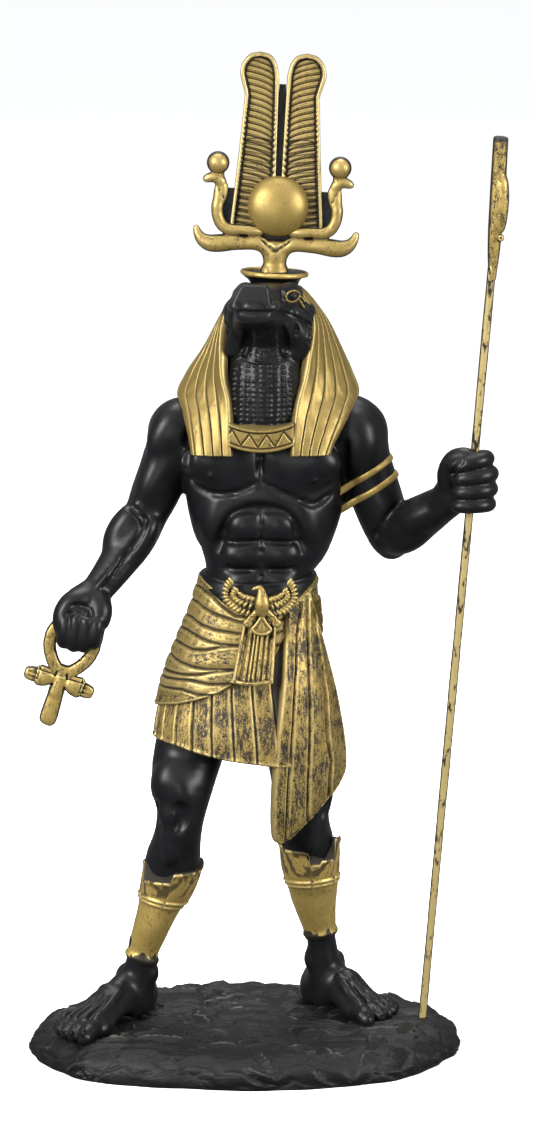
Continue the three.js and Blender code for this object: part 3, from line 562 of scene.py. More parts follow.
def antique_gold(name, wear, streak=(1, 1, 0.3), depth=(0.03, 0.2), crest=1.0, painted_light_level=1.0, flanks_and_edge_shade=0.0):
    """Gold dry-brushed over black: black stays in the recesses and, by `wear`, in streaks and patches.

    `depth` is how deep a recess starts and ends turning black, `crest` how far the high parts resist wear and
    take a paler gold as a painted highlight, and the flanks setting how far black reaches round from the
    sides to the front: the sides the brush missed on flat parts, and painted shade along the edges of round
    ones.
    """
    paint = Paint(name, specular_ior_level=0.25, ior=1.5)
    streaks = paint.noise(900, 8, streak, 0.8)
    patches = paint.noise(150, 5)
    specks = paint.noise(2300, 3)
    recess = paint.attribute("recess")
    hollow = recess.smooth(*depth)
    high = (0 - recess).smooth(0.01, 0.15) * crest
    threshold = 0.64 - 0.3 * wear - (patches - 0.5) * (0.55 * wear) + high * 0.14
    worn = (streaks * 0.68 + specks * 0.32 - threshold).smooth(-0.05, 0.08)
    scratches = paint.noise(2600, 5, streak, 0.7)
    fine = (scratches - 0.66 + 0.16 * wear).smooth(0, 0.09) * 0.75
    black = hollow.most(worn.most(fine) * (1 - high * 0.45)).most(paint.attribute("bare_and_painted_shade"))
    # black reaching round from the sides: unpainted flanks on flat parts, painted shade along the edges of
    # round parts such as the staff and greaves
    if flanks_and_edge_shade:
        front = paint.facing("Y")
        black = black.most((flanks_and_edge_shade + (streaks - 0.5) * 0.5 - front * front).smooth(0, 0.14))
    tone = paint.noise(160, 3)

    # each copy of this gold is made darker or lighter to offset how the lamps fall on its parts: painted
    # light and shade
    def shade(red, green, blue):
        return (red * painted_light_level, green * painted_light_level, blue * painted_light_level, 1)

    gold = paint.blend(tone, shade(0.26, 0.175, 0.042), shade(0.4, 0.29, 0.095))
    # the paler gold on the high parts is a painted highlight
    gold = paint.blend(high * 0.6, gold, shade(0.54, 0.44, 0.21))
    colour = paint.blend(black, gold, (0.012, 0.009, 0.0048, 1))
    paint.set(
        base_color=colour,
        metallic=0.6 * (1 - black),
        roughness=0.36 + 0.14 * specks + 0.12 * black,
        normal=paint.bump(streaks * 0.6 + specks * 0.5 - worn * 0.35, 0.0001, 0.6),
    )
    return paint.material


# The body


MIDLINE = 4.9  # x of the breastbone and navel
TORSO = [
    [3.9, 1, 126, 16, 11.2], [4.2, 1, 134.5, 15.9, 10.8], [4.3, 1, 138, 15.7, 10.9],
    [4.6, 1, 142.2, 16.4, 11.2], [5.1, 1.1, 146.2, 18.2, 11.7], [5.7, 1.3, 150, 20.4, 12.3],
    [5.9, 1.5, 154, 21.9, 12.8], [6.1, 1.8, 158.6, 23.1, 13.3], [6.2, 2, 161.6, 23.6, 13.6],
    [6.2, 2.3, 165, 23.9, 13.7], [6.4, 2.8, 171, 23.6, 13], [6.6, 3.6, 178, 22.3, 11.4],
    [6.8, 4.4, 185, 18.5, 9.6], [6.9, 4.8, 191, 11, 8.6],
]
RIGHT_ARM = [
    [-46.4, -8, 129.6, 4.4, 3.3], [-43.6, -7, 133.2, 4.7, 3.6], [-40.2, -5, 137.4, 5.2, 4.4],
    [-36.2, -2, 142.8, 6, 5.4], [-32.4, 1, 148.6, 6.7, 6.2], [-29.2, 3, 154.6, 6.5, 6.2],
    [-26.6, 4, 160.4, 7.2, 7], [-24, 4, 166.6, 7.6, 7.8], [-21, 4, 173, 8.5, 8.9],
    [-16.8, 4, 179.6, 9.7, 9.5], [-9, 4.6, 184.5, 7, 8.2],
]
LEFT_UPPER_ARM = [
    [44, 5.8, 144.8, 4.6, 4.4], [42.9, 5.2, 149.4, 6.8, 6.4], [40.6, 4.6, 155.8, 7.5, 7.2],
    [38.4, 4, 162.4, 7.7, 7.9], [36.4, 4, 168.6, 7.7, 8.3], [33.5, 4, 174.6, 9.1, 9.1],
    [29.9, 4, 180.4, 10.1, 9.5], [22, 4.6, 185, 7, 8.2],
]
LEFT_FOREARM = [
    [61, -15.5, 162.2, 5, 4.3], [57.6, -11.4, 159.4, 5.6, 4.8], [54, -6.8, 156.2, 6.3, 5.7],
    [50.2, -2, 153, 6.9, 6.6], [46.6, 2.4, 150, 7.1, 6.8], [43.6, 5.6, 147.4, 6, 5.8],
]


def torso(clay):
    """The trunk, from the belt to the neck."""
    clay.tube(TORSO, steps=3, square=2.3)
    for side in (-1, 1):
        x = MIDLINE + side * 10.2
        clay.pad((x, 0, 170.2), (9.8, 6, 7.8), 3.0, blend=2.0)
        clay.pad((x + side * 6, 0, 173), (8, 5, 5.8), 2.4, (side * 0.5, 0, 1), 3)
        clay.pad((x - side * 4, 0, 174.5), (6.5, 5, 6.5), 1.2, blend=3)
        clay.pad((MIDLINE + side * 12.5, 0, 156), (4, 4, 8), 0.5, (side * -0.35, 0, 1), 2.5)
    # the arch of the ribs, then the belly muscles below it
    arch = [(-12.2, 146), (-11.4, 150.5), (-8.2, 155.6), (-3, 158.2), (3, 158.2), (8.2, 155.6), (11.2, 150.5),
            (12, 146)]
    clay.groove([(MIDLINE + x, 0, z) for x, z in arch], 0.55, 2.2)
    for side in (-1, 1):
        clay.pad((MIDLINE + side * 5, 0, 153.2), (4.6, 3, 4.1), 1.15, blend=1.4)
        clay.pad((MIDLINE + side * 5.7, 0, 144.4), (5.4, 3.2, 3.9), 1.5, blend=1.4)
        clay.pad((MIDLINE + side * 5.2, 0, 135.8), (5.2, 3.2, 3.8), 1.3, blend=1.4)
        for line in (((0.6, 148.6), (6, 148.2), (11.4, 148.4)), ((0.6, 140), (6, 139.8), (10.6, 140.2))):
            clay.groove([(MIDLINE + side * x, 0, z) for x, z in line], 0.25, 1.3)
    clay.groove([(MIDLINE - 0.2, 0, 176), (MIDLINE - 0.2, 0, 170), (MIDLINE, 0, 165)], 0.3, 1.6)
    clay.groove([(MIDLINE, 0, 158), (MIDLINE + 0.2, 0, 149), (MIDLINE + 0.2, 0, 134)], 0.22, 1.2)
    # under the breast: a sharp fold, with a softer one of the ribs below it
    for line in (
        [(-16.4, 167.5), (-14.2, 164.6), (-8.6, 162.6), (-1.6, 163.4), (3.6, 166)],
        [(6, 165.8), (12.4, 162.6), (17.1, 160.6), (21, 159.4), (25.4, 162)],
    ):
        clay.groove([(x, 0, z) for x, z in line], 0.3, 1.5)
    for x, z in ((-9.8, 168.6), (21, 167.2)):
        spot = clay.drop([(x, -34, z)])[0]
        clay.blob(spot, (1.5, 0.35, 1.5), blend=0.5)
        clay.blob(spot, (0.65, 0.9, 0.65), blend=0.25)
    # the back: shoulder blades, the two long muscles by the spine, the sides and the furrow
    for side in (-1, 1):
        clay.pad((6.6 + side * 11.5, 0, 172), (7.5, 4, 9), 1.8, (side * 0.35, 0, 1), 3, BEHIND)
        clay.pad((6 + side * 13, 0, 162), (6, 4, 11), 1.0, (side * 0.3, 0, 1), 3, BEHIND)
        clay.pad((5 + side * 4.8, 0, 146), (3.6, 3, 13), 1.6, UP, 2, BEHIND)
        clay.pad((6.8 + side * 9, 0, 184), (9, 5, 6), 1.4, (side, 0, -0.4), 3, BEHIND)
    furrow = [(6.6, 0, 182), (6.2, 0, 170), (5.4, 0, 155), (4.4, 0, 142)]
    clay.groove(furrow, (0.6, 0.7, 0.6, 0.2), 2.6, BEHIND)


def shoulders_and_arms(clay):
    """Both arms as far as the wrists."""
    clay.tube(RIGHT_ARM, 2.0)
    clay.tube(LEFT_UPPER_ARM, 2.0)
    clay.tube(LEFT_FOREARM, 1.6, across=UP)
    # right arm, from the shoulder down
    down = (-0.46, -0.12, -1)
    clay.pad((-23.2, 0, 179.5), (4.6, 4, 8.5), 1.5, (-0.5, 0, -1), 2.2)
    clay.blob((-19.5, 3.4, 180), (8.6, 8.4, 8.6), blend=2.5)
    clay.pad((-26, 0, 167), (4.6, 4.5, 9.6), 1.3, down, 2.6)
    clay.pad((-24, 0, 166), (5, 5, 12), 1.6, down, 2.4, BEHIND)
    clay.groove([(-17.2, 0, 170), (-16.6, 0, 175), (-16, 0, 180)], 0.9, 1.8)
    clay.pad((-35.6, 0, 151.4), (4.4, 4.2, 9), 1.7, (-0.72, 0, -1), 2.0)
    clay.pad((-31.4, 0, 147), (4, 4, 9), 1.2, (-0.7, 0, -1), 2.0)
    clay.groove([(-34.4, 0, 158.4), (-31.6, 0, 156.2), (-29, 0, 153.6)], 0.35, 1.6)
    clay.groove([(-29.4, 0, 154), (-30.4, 0, 150), (-34, 0, 144.6), (-38.6, 0, 138.8)], 0.4, 1.6)
    for shift in (0, 1.5):
        tendon = [(x - shift, 0, z - shift) for x, z in ((-37, 142.2), (-41, 137.4), (-44.2, 133.4))]
        clay.ridge(tendon, (0.3, 0.55, 0.3), 1.0)
    clay.blob((-26.2, 9.4, 154.2), (3.2, 3, 3.6), blend=2.0)
    # left arm, with the elbow bent
    clay.blob((33.2, 3.4, 179.6), (9.1, 8.4, 9), blend=2.5)
    clay.pad((34, 0, 177), (5.4, 4, 8.6), 1.2, (0.12, 0, -1), 2.4)
    clay.blob((30.6, 5, 163), (3.2, 4, 5.6), blend=2.0)
    clay.pad((41.4, 0, 157.6), (4.8, 4.4, 8.6), 1.9, (0.28, 0, -1), 2.0)
    clay.pad((37.4, 0, 160), (5, 5, 11), 1.5, (0.3, 0, -1), 2.4, BEHIND)
    clay.groove([(29.6, 0, 164), (29.4, 0, 171), (29.8, 0, 177)], 0.5, 1.8)
    clay.groove([(45.6, 0, 158.4), (42.4, 0, 155), (39.8, 0, 150.8), (38.8, 0, 148.2)], 0.45, 1.2)
    clay.pad((50.6, 0, 155), (4.2, 4.2, 8.6), 1.0, (1, -0.9, 0.6), 2.0)
    clay.pad((48.4, 0, 148.2), (4, 4, 8), 0.9, (1, -0.9, 0.66), 2.0)
    clay.blob((44.2, 9.6, 145.2), (3.2, 3, 3.2), blend=2.0)


def finger(clay, points, radii):
    """A finger, from its tip to where it goes into the hand."""
    clay.strand(points, radii, 0.55, steps=5)


RIGHT_FIST = np.array([-48.4, -9, 122.6])
LEFT_FIST = np.array([66.6, -20, 168.2])


def right_hand(clay):
    """Palm forward, the fingers hooked round the loop of the ankh, their tips tucked into the palm."""
    x, y, z = RIGHT_FIST
    clay.tube([
        [x + 0.4, y + 2, z - 2, 6.4, 5], [x + 0.7, y + 2, z + 2, 7.2, 4.8],
        [x + 1.4, y + 1.6, z + 6.4, 6.8, 4.4], [x + 3, y + 1, z + 9.4, 5, 3.6],
    ], 1.5)
    tops = [(-52.4, 127), (-49.2, 127.6), (-46.1, 127.4), (-43.2, 126.2)]
    lows = [(-53.3, 119), (-50.4, 118.1), (-47.4, 117.9), (-44.5, 118.9)]
    for (top_x, top_z), (low_x, low_z) in zip(tops, lows):
        front = -15.4 if top_x > -52 else -14.6
        finger(clay, [
            (top_x, front + 2.2, top_z + 0.4), (top_x - 0.2, front + 0.4, top_z - 1.6),
            (mix(top_x, low_x, 0.55), front, mix(top_z, low_z, 0.55)), (low_x, front + 0.7, low_z + 1),
            (low_x + 0.2, front + 3.4, low_z - 0.2), (low_x + 0.6, front + 7.4, low_z + 0.8),
        ], (1.55, 1.75, 1.75, 1.95, 2.1, 2.2))
    # the ball of the thumb and the heel of the hand, with the thumb along the outside
    thumb = [(-45.6, -9, 131), (-50.1, -11, 130.4), (-52.9, -12, 127.6), (-53.6, -12.4, 124.4),
             (-53.2, -12, 121.6)]
    clay.strand(thumb, (3.2, 3.2, 2.7, 2.3, 1.8), 1.2)
    clay.strand([(-43.4, -9, 131.6), (-42.6, -11.4, 128), (-43, -12, 124.6)], (3, 3, 2.6), 1.4)
    clay.blob((-47.9, -10.6, 129.8), (3.4, 2.7, 3), blend=1.4)
    clay.groove([(-51.4, 0, 129.6), (-48.6, 0, 130.2), (-45.8, 0, 128.8), (-44.6, 0, 127.2)], 0.35, 0.9)
    clay.groove([(-52, 0, 127.6), (-48.6, 0, 128), (-45.2, 0, 127)], 0.35, 0.8)


def left_hand(clay):
    """Closed round the staff: four fingers one above the other, and the thumb over the first of them."""
    x, y, z = LEFT_FIST
    clay.tube([
        [x - 7.8, y + 6.8, z - 6.6, 3.8, 4], [x - 5, y + 4.6, z - 3.4, 5.8, 5],
        [x - 1, y + 3, z - 0.6, 7.8, 5], [x + 2.4, y + 2.6, z + 0.2, 7.8, 4.6],
    ], 1.5, across=UP)
    for i, (shift, thick) in enumerate([(-1.9, 2.15), (-0.6, 2.15), (-0.7, 2.1), (-1.1, 1.95)]):
        height = z + 6.1 - 4.25 * i
        rise = 1.4 - 0.4 * i
        finger(clay, [
            (x - 4.2 + shift, y - 3.2, height - rise), (x - 2.2 + shift, y - 5.2, height - rise * 0.6),
            (x + 1.4 + shift, y - 5.6, height), (x + 4.4 + shift, y - 4.4, height + rise * 0.4),
            (x + 5.9 + shift, y - 1.6, height + rise * 0.5), (x + 4.6 + shift, y + 2.4, height + 0.2),
        ], (thick * 0.85, thick * 0.95, thick, thick, thick * 1.06, thick * 1.1))
    clay.strand([
        (x - 6.4, y + 3.4, z - 3), (x - 7, y + 0.6, z + 2.2), (x - 5.4, y - 1.8, z + 6.4),
        (x - 2.2, y - 3.6, z + 7.8), (x + 0.6, y - 4.6, z + 6.8),
    ], (3.1, 2.9, 2.6, 2.2, 1.7), 0.8)
    clay.groove([(60.8, 0, 170), (61.4, 0, 173.2), (63.4, 0, 174.8)], 0.45, 0.8, start=50)


def skin():
    """Trunk, arms and hands in one block of clay."""
    clay = Clay((-60, -30, 104), (78, 18, 193), 0.5)
    torso(clay)
    shoulders_and_arms(clay)
    right_hand(clay)
    left_hand(clay)
    return clay


# Legs, feet and greaves


RIGHT_LEG = [
    [-22.8, 0.2, 41, 7, 7.6], [-21.7, -1.9, 49, 8.3, 8.2], [-20.5, -4.1, 55.5, 7.4, 7.5],
    [-19.5, -6, 61.5, 7, 7.4], [-18.9, -6.2, 67.5, 7.7, 8.1], [-18.4, -4.8, 74.5, 9.3, 9.2],
    [-16.7, -1.4, 83, 10.4, 9.4], [-11, 0, 103, 11.2, 11.6],
]
LEFT_LEG = [
    [20.1, 5.2, 44.5, 6.8, 7], [19.1, 2.4, 53.5, 7.9, 8], [18.1, -0.4, 59.5, 7.7, 7.6],
    [17.5, -2.2, 65, 7.8, 7.6], [17.6, -2.4, 71, 9, 8.9], [17.3, -1.5, 80, 10.2, 10.4],
    [14, 0.6, 102, 11.3, 12],
]


def leg(clay, stations, knee_x, knee_z, turned):
    """One leg; `turned` is how far its front, with the knee, faces to the figure's left."""
    clay.tube(stations, 1.5)
    toward = (-turned, 1, 0)
    outer = 1 if knee_x > 0 else -1

    def there(across, rise):
        return (knee_x + across, 0, knee_z + rise)

    clay.pad(there(-outer * 3.8, 7.4), (3.4, 4, 5), 0.4, (outer * 0.3, 0, 1), 2.4, toward)
    clay.pad(there(outer * 2.6, 9), (3.4, 4, 5), 0.3, (-outer * 0.16, 0, 1), 2.4, toward)
    clay.pad(there(0, 9.5), (4.4, 4, 6.5), 0.35, UP, 3, toward)
    clay.pad(there(0, 0.4), (3.3, 3, 4), 0.65, UP, 1.9, toward)
    clay.pad(there(0, -6.6), (1.6, 2, 5.4), 0.9, UP, 1.8, toward)
    clay.pad(there(0, -11.6), (2.2, 2.4, 3.6), 0.5, UP, 2, toward)
    for side in (-1, 1):
        beside = [there(side * 4.2, 3.6), there(side * 4.9, 0), there(side * 3.5, -4)]
        clay.groove(beside, (0.4, 0.6, 0.3), 2.4, toward)
        clay.ridge([there(side * 4.6, 12), there(side * 4.4, 2)], 0.7, 2.2, BEHIND)


def legs():
    """Both legs, from under the kilt to inside the greaves."""
    clay = Clay((-38, -24, 38), (36, 20, 104), 0.55)
    leg(clay, RIGHT_LEG, -19, 66, -0.3)
    leg(clay, LEFT_LEG, 17.4, 68.5, 0.35)
    return clay.form()


def foot(low, high, stations, ankle, bones, toes, across, arch):
    """A bare foot between two corners; toes are [root x, root y, tip x, tip y], the big one first."""
    clay = Clay(low, high, 0.4)
    clay.tube(stations, 1.4, across)
    clay.tube(ankle, 2.6)
    for centre, radii in bones:
        clay.blob(centre, radii, blend=2.0)
    heel = np.array(ankle[1][:2])
    for i, (root_x, root_y, tip_x, tip_y) in enumerate(toes):
        r = 2.5 if i == 0 else 1.85 - 0.09 * i
        root, tip = np.array([root_x, root_y]), np.array([tip_x, tip_y])
        along = [*unit(tip - root), 0]

        def spot(share, height, root=root, tip=tip):
            return (*mix(root, tip, share), height)

        clay.strand([spot(-0.5, 2.6), spot(0.1, 2.9), spot(0.5, 2.7), spot(0.84, 1.6)],
                    (r * 1.05, r, r * 0.92, r * 0.86), 0.7)
        clay.blob(spot(0.52, 2.7), (r * 0.98, r * 0.98, r * 0.8), along, 0.5)
        nail = spot(0.93, 1.6 + 0.74 * r)
        clay.blob(nail, (0.26 * r, 0.58 * r, 0.62 * r), along, 0.12)
        if i:
            clay.groove([spot(0.6, 0), spot(0.66, 0)], 0.2, 0.5, DOWN)
        line = [(*mix(heel, root, share), 0) for share in (0.42, 0.6, 0.8, 1.0)]
        clay.ridge(line, (0.2, 0.5, 0.5, 0.7) if i else (0.5, 0.9, 0.9, 0.9), 1.6, DOWN)
    for (a, b, *_), (c, d, *_) in zip(toes, toes[1:]):
        root = np.array([(a + c) / 2, (b + d) / 2])
        line = [(*mix(heel, root, share), 0) for share in (0.62, 0.8, 1.0)]
        clay.groove(line, (0.2, 0.35, 0.5), 1.0, DOWN)
    clay.blob(*arch, remove=True, blend=2.0)
    clay.shave((0, 0, -2.2), DOWN)
    return clay.form()


def right_foot():
    """The forward foot, its toes turned outwards."""
    stations = [
        [-30.2, 15.4, 3.2, 2.3, 3.2], [-31.1, 13.2, 4.6, 4.2, 5.8], [-33.4, 7.8, 6.6, 5.3, 8.2],
        [-36.6, 1.6, 6.4, 5.3, 7.6], [-40.8, -5, 4.6, 6.1, 5.8], [-44.8, -11.6, 2.9, 7.1, 4.3],
        [-48, -16.8, 2, 7.4, 3.3], [-49.6, -19.8, 1.8, 5.6, 2.4],
    ]
    ankle = [[-32.4, 7, 5, 5, 6.6], [-32.2, 4.6, 12, 4.8, 5.6], [-31.3, 3.6, 18, 4.5, 5.0],
             [-30.3, 3.2, 24, 4.6, 5.2]]
    bones = [
        ((-36.6, 6.2, 12.4), (2.2, 2.7, 2.8)), ((-27.9, 3.6, 13.4), (1.8, 2.6, 2.8)),
        ((-31.2, 12, 4), (4, 4.4, 5.4)), ((-42.6, -17.2, 2.6), (2.8, 3.4, 2.8)),
        ((-54, -9.5, 1.8), (2.2, 3, 2.2)),
    ]
    toes = [
        (-44.4, -18.4, -48.1, -28.0), (-48, -17.6, -51.7, -26), (-50.4, -16, -54, -23),
        (-52.4, -14, -55.6, -19.6), (-53.8, -11.6, -56.4, -16.2),
    ]
    arch = ((-36, -8.5, 0.6), (3.4, 8, 2.6))
    return foot((-61, -33, -3), (-22, 21, 25), stations, ankle, bones, toes, (-0.853, 0.52, 0), arch)


def left_foot():
    """The foot that stands back, its toes turned outwards."""
    stations = [
        [20.2, 22, 3.2, 2.3, 3.2], [21.4, 20.4, 4.6, 4.2, 5.8], [24.7, 16.4, 6.8, 5.2, 8.4],
        [28, 12, 6.4, 5.3, 7.6], [31.8, 7.6, 4.6, 6.1, 5.8], [35.4, 3.5, 2.9, 7, 4.3],
        [38.2, 0.5, 2, 7.2, 3.3], [39.6, -1, 1.8, 5.6, 2.4],
    ]
    ankle = [[24.4, 16, 5, 5.2, 6.6], [24.2, 14, 14, 4.8, 5.8], [23.4, 13, 21, 4.4, 5.1],
             [22.9, 12.2, 27, 4.4, 5.2]]
    bones = [
        ((28.6, 16.8, 14), (1.9, 2.6, 2.8)), ((19.9, 13, 15.4), (1.8, 2.6, 2.8)),
        ((21.6, 19.2, 4), (4, 4.4, 5.4)), ((33.6, -1, 2.6), (3.2, 2.8, 2.8)),
        ((43.4, 8.8, 1.8), (3, 2.2, 2.2)),
    ]
    toes = [
        (34.6, -2.6, 37.4, -8.4), (38.2, 0, 41.6, -4.8), (40, 2.2, 44, -0.9), (41.6, 4.6, 45.5, 2.7),
        (42.6, 7.2, 46.2, 6.5),
    ]
    arch = ((27, 5.6, 0.6), (6.5, 3.4, 2.6))
    return foot((13, -13, -3), (51, 30, 28), stations, ankle, bones, toes, (-0.69, -0.72, 0), arch)


def around(section, low, high, turns, rings, swell, squeeze=1.0):
    """A closed form of horizontal oval rings between two edge curves.

    section(z) gives rows [x, y, half width, half depth]; low(angle) and high(angle) give the edges, and
    swell(angle, z) how far each point moves outwards. The angle is 0 in front. A squeeze above 1 draws the
    rings towards the lower edge.
    """
    angle = np.arange(turns)[None] * TURN / turns - math.pi
    t = np.linspace(0, 1, rings)[:, None] ** squeeze
    z = mix(low(angle), high(angle), t)
    x, y, wide, deep = np.moveaxis(section(z), -1, 0)
    out = swell(angle, z)
    grid = np.stack([x + (wide + out) * np.sin(angle), y - (deep + out) * np.cos(angle), z], axis=-1)
    return closed_form(grid)


def on_oval(angle, z, wide, deep):
    """Places on an upright oval surface, for its noise."""
    return np.stack(np.broadcast_arrays(np.sin(angle) * wide, np.cos(angle) * deep, z), axis=-1)


def section_of(rows):
    """A function for `around` from rows [z, x, y, half width, half depth]."""
    rows = curve(rows)
    return lambda z: np.stack([np.interp(z, rows[:, 0], rows[:, n]) for n in (1, 2, 3, 4)], axis=-1)


def greave(rows, behind, low, band, steps, slopes, seed):
    """A greave: a rim above the ankle, a raised double band below the calf and a stepped top.

    behind, low and band are the heights of the top at the back, the rim and the band. The steps of the top
    are [share, height] pairs, the share from -1 to 1 across the front. The slopes tilt the rim and the band.
    """
    turns, rings = 180, 150

    def low_edge(angle):
        return low + slopes[0] * np.sin(angle)

    def band_height(angle):
        return band + slopes[1] * np.sin(angle)

    def high_edge(angle):
        front = smooth(np.cos(angle), -0.2, 0.15)
        return mix(behind, stepped(np.sin(angle), steps), front)

    def swell(angle, z):
        shift = z - band_height(angle)
        rim = 0.75 * hill(z - low_edge(angle) - 1.2, 1.1)
        ring = 0.7 * hill(shift - 0.75, 0.62) + 0.55 * hill(shift + 0.6, 0.55)
        lip = 0.45 * hill(high_edge(angle) - z - 0.7, 0.7)
        place = on_oval(angle, z, 8, 8)
        panel = 0.3 * smooth(shift, 0.8, 2.4)
        return rim + ring + lip + panel + 0.09 * layered_noise(place, 2.2, 2, seed)

    points, faces = around(section_of(rows), low_edge, high_edge, turns, rings, swell)
    # the lowest rim is left black, with a ragged edge
    ragged = noise(points, 1.3, seed) * 1.4 + noise(points, (0.7, 0.7, 3), seed + 1)
    z = points[:, 2]
    bare_and_painted_shade = smooth(low + 2.4 + ragged - z, -0.3, 0.3)
    # above the band the gold is thin, and over the top edge it ends
    thin = smooth(layered_noise(points, (1.4, 1.4, 2.2), 3, seed + 5) + 0.02 * (z - band), 0.1, 0.3)
    bare_and_painted_shade = np.maximum(bare_and_painted_shade, 0.9 * thin * smooth(z, band + 1.6, band + 3))
    bare_and_painted_shade[-turns:] = 1
    return (points, faces), bare_and_painted_shade


def stepped(x, steps):
    """A stepped edge: [x, height] pairs, each height running on from its x."""
    height = steps[0][1]
    total = np.full_like(x, height)
    for (start, level), (_, before) in zip(steps[1:], steps):
        total = total + (level - before) * smooth(x, start - 0.035, start + 0.035)
    return total


def right_greave():
    """The greave of the forward leg."""
    rows = [
        [15, -31.8, 3.8, 4.7, 5.2], [19, -31, 3.4, 4.7, 5.2], [22, -30.1, 3.1, 5, 5.5],
        [29, -27.7, 2, 5.8, 7], [34.6, -25.6, 1.4, 6.6, 7.9], [36.8, -24.5, 1.2, 7.4, 8.3],
        [40.4, -23.3, 0.3, 8.1, 8.8], [46, -21.9, -1.2, 8.6, 9.1], [52, -21, -2.4, 8.5, 8.9],
    ]
    steps = [(-1, 50.4), (-0.9, 45), (0.04, 47.8), (0.95, 48.6)]
    return greave(rows, 49.8, 17.6, 37.2, steps, (-1.5, -1.7), 3)


def left_greave():
    """The greave of the other leg, its top stepped higher on the outside."""
    rows = [
        [18, 23.6, 13.4, 4.6, 5.2], [22.8, 23.1, 12.4, 4.5, 5.3], [25.4, 22.7, 11.8, 5, 5.8],
        [33, 21.3, 9.4, 6.4, 7.2], [38.4, 20.7, 7.7, 7.4, 8.1], [41.6, 20.4, 6.4, 7.9, 8.6],
        [48.5, 19.8, 4.2, 8.7, 9.0], [58, 19.4, 1.8, 8.9, 9],
    ]
    steps = [(-1, 54.6), (-0.86, 53.6), (-0.02, 49.4), (0.34, 50.6), (0.8, 57)]
    return greave(rows, 54.8, 22.9, 42.3, steps, (0.9, 0.8), 4)


# The base


def base():
    """A low oval rock, with a flat foot, uneven sides and the marks of a spatula all over it."""
    turns, rings, strokes = 480, 170, 260
    long, wide = BASE_LENGTH / 2, BASE_WIDTH / 2
    profile = curve([
        [0.995, -9], [1.002, -7.2], [0.996, -5.4], [0.978, -3.6], [0.95, -2.1], [0.91, -0.7], [0.87, 0.1],
        [0.8, 0.35], [0.6, 0.3], [0.4, 0.2], [0.2, 0.2], [0.02, 0.2],
    ], 24)
    share, height = at(profile, np.linspace(0, 1, rings)).T
    a = np.arange(turns) * TURN / turns
    outline = 1 + 0.014 * np.sin(3 * a + 0.4) - 0.012 * np.cos(5 * a) + 0.008 * np.sin(9 * a + 1)
    outline = outline + 0.004 * np.sin(17 * a + 2) + 0.003 * np.sin(29 * a)
    outline = outline + 0.05 * hill(a - TURN + 0.8, 0.35) - 0.03 * hill(a - TURN + 1.8, 0.5)
    radius = share[:, None] * outline
    x = np.sin(a) * radius * long
    y = -np.cos(a) * radius * wide
    grid = np.stack([x, y, np.broadcast_to(height[:, None], x.shape)], axis=-1)
    lumps = 0.5 * np.sin(x * 0.23 + y * 0.11) * np.cos(y * 0.27 - x * 0.07) + 0.2 * np.sin(x * 0.6)
    # strokes of a spatula over one another, each a tilted facet with one sharp edge
    bent = grid + np.stack([noise(grid, 4, n) for n in (5, 6, 7)], axis=-1) * 0.9
    rough = 0.6 * layered_noise(bent, (9, 5, 4), 2, 11)
    hand = np.random.default_rng(7)
    for _ in range(strokes):
        turn, ring, heading = hand.uniform(0, TURN), math.sqrt(hand.uniform(0.02, 1.5)), hand.normal(0, 0.5)
        if ring > 1:  # on the side
            level = hand.uniform(-8, -1)
            run = unit(np.array([math.cos(turn) * long, math.sin(turn) * wide, 0]))
            rise = np.array([0, 0, 1.0])
        else:
            level = 0
            run = np.array([1.0, 0, 0])
            rise = np.array([0, 1.0, 0])
        centre = (math.sin(turn) * long * min(ring, 1), -math.cos(turn) * wide * min(ring, 1), level)
        along = run * math.cos(heading) + rise * math.sin(heading)
        across = rise * math.cos(heading) - run * math.sin(heading)
        away = bent - centre
        u = away @ along / hand.uniform(4, 10)
        v = away @ across / hand.uniform(1.5, 3.4)
        w = away @ np.cross(along, across) / 5
        inside = smooth(1 - u * u - v * v - w * w, 0, 0.2)
        rough = mix(rough, hand.uniform(-0.7, 0.5) + hand.uniform(0.7, 1.3) * v, inside)
    rough = rough + 0.14 * layered_noise(grid, (1.6, 0.9, 0.9), 2, 31)
    above = smooth(height, -9, -7)[:, None]
    upright = smooth(-height, 0.0, 3.5)[:, None]
    outward = np.stack([x / long**2, y / wide**2, np.zeros_like(x)], axis=-1)
    grid = grid + unit(outward) * (rough * above * upright * 0.8)[..., None]
    grid[..., 2] += (0.65 * lumps + rough) * (1 - upright) * above
    return closed_form(grid)


# The kilt


KILT = [
    [78, 1, -0.5, 28.4, 17.8], [90, 1.2, -0.5, 28.2, 17.6], [98, 1.2, 0, 26.8, 16.8],
    [105, 1.2, 0, 25.2, 15.8], [112.4, 1.8, 0, 23, 14.8], [122.6, 2.6, 0.5, 19.8, 13.2],
    [129, 3.3, 1, 17.8, 12.3], [140, 4.4, 1, 16.2, 11.4],
]
kilt_section = section_of(KILT)


def along_edge(pairs):
    """A function of the angle from pairs of degrees and heights."""
    degrees, heights = np.array(pairs, float).T
    return lambda angle: np.interp(np.degrees(angle), degrees, heights)


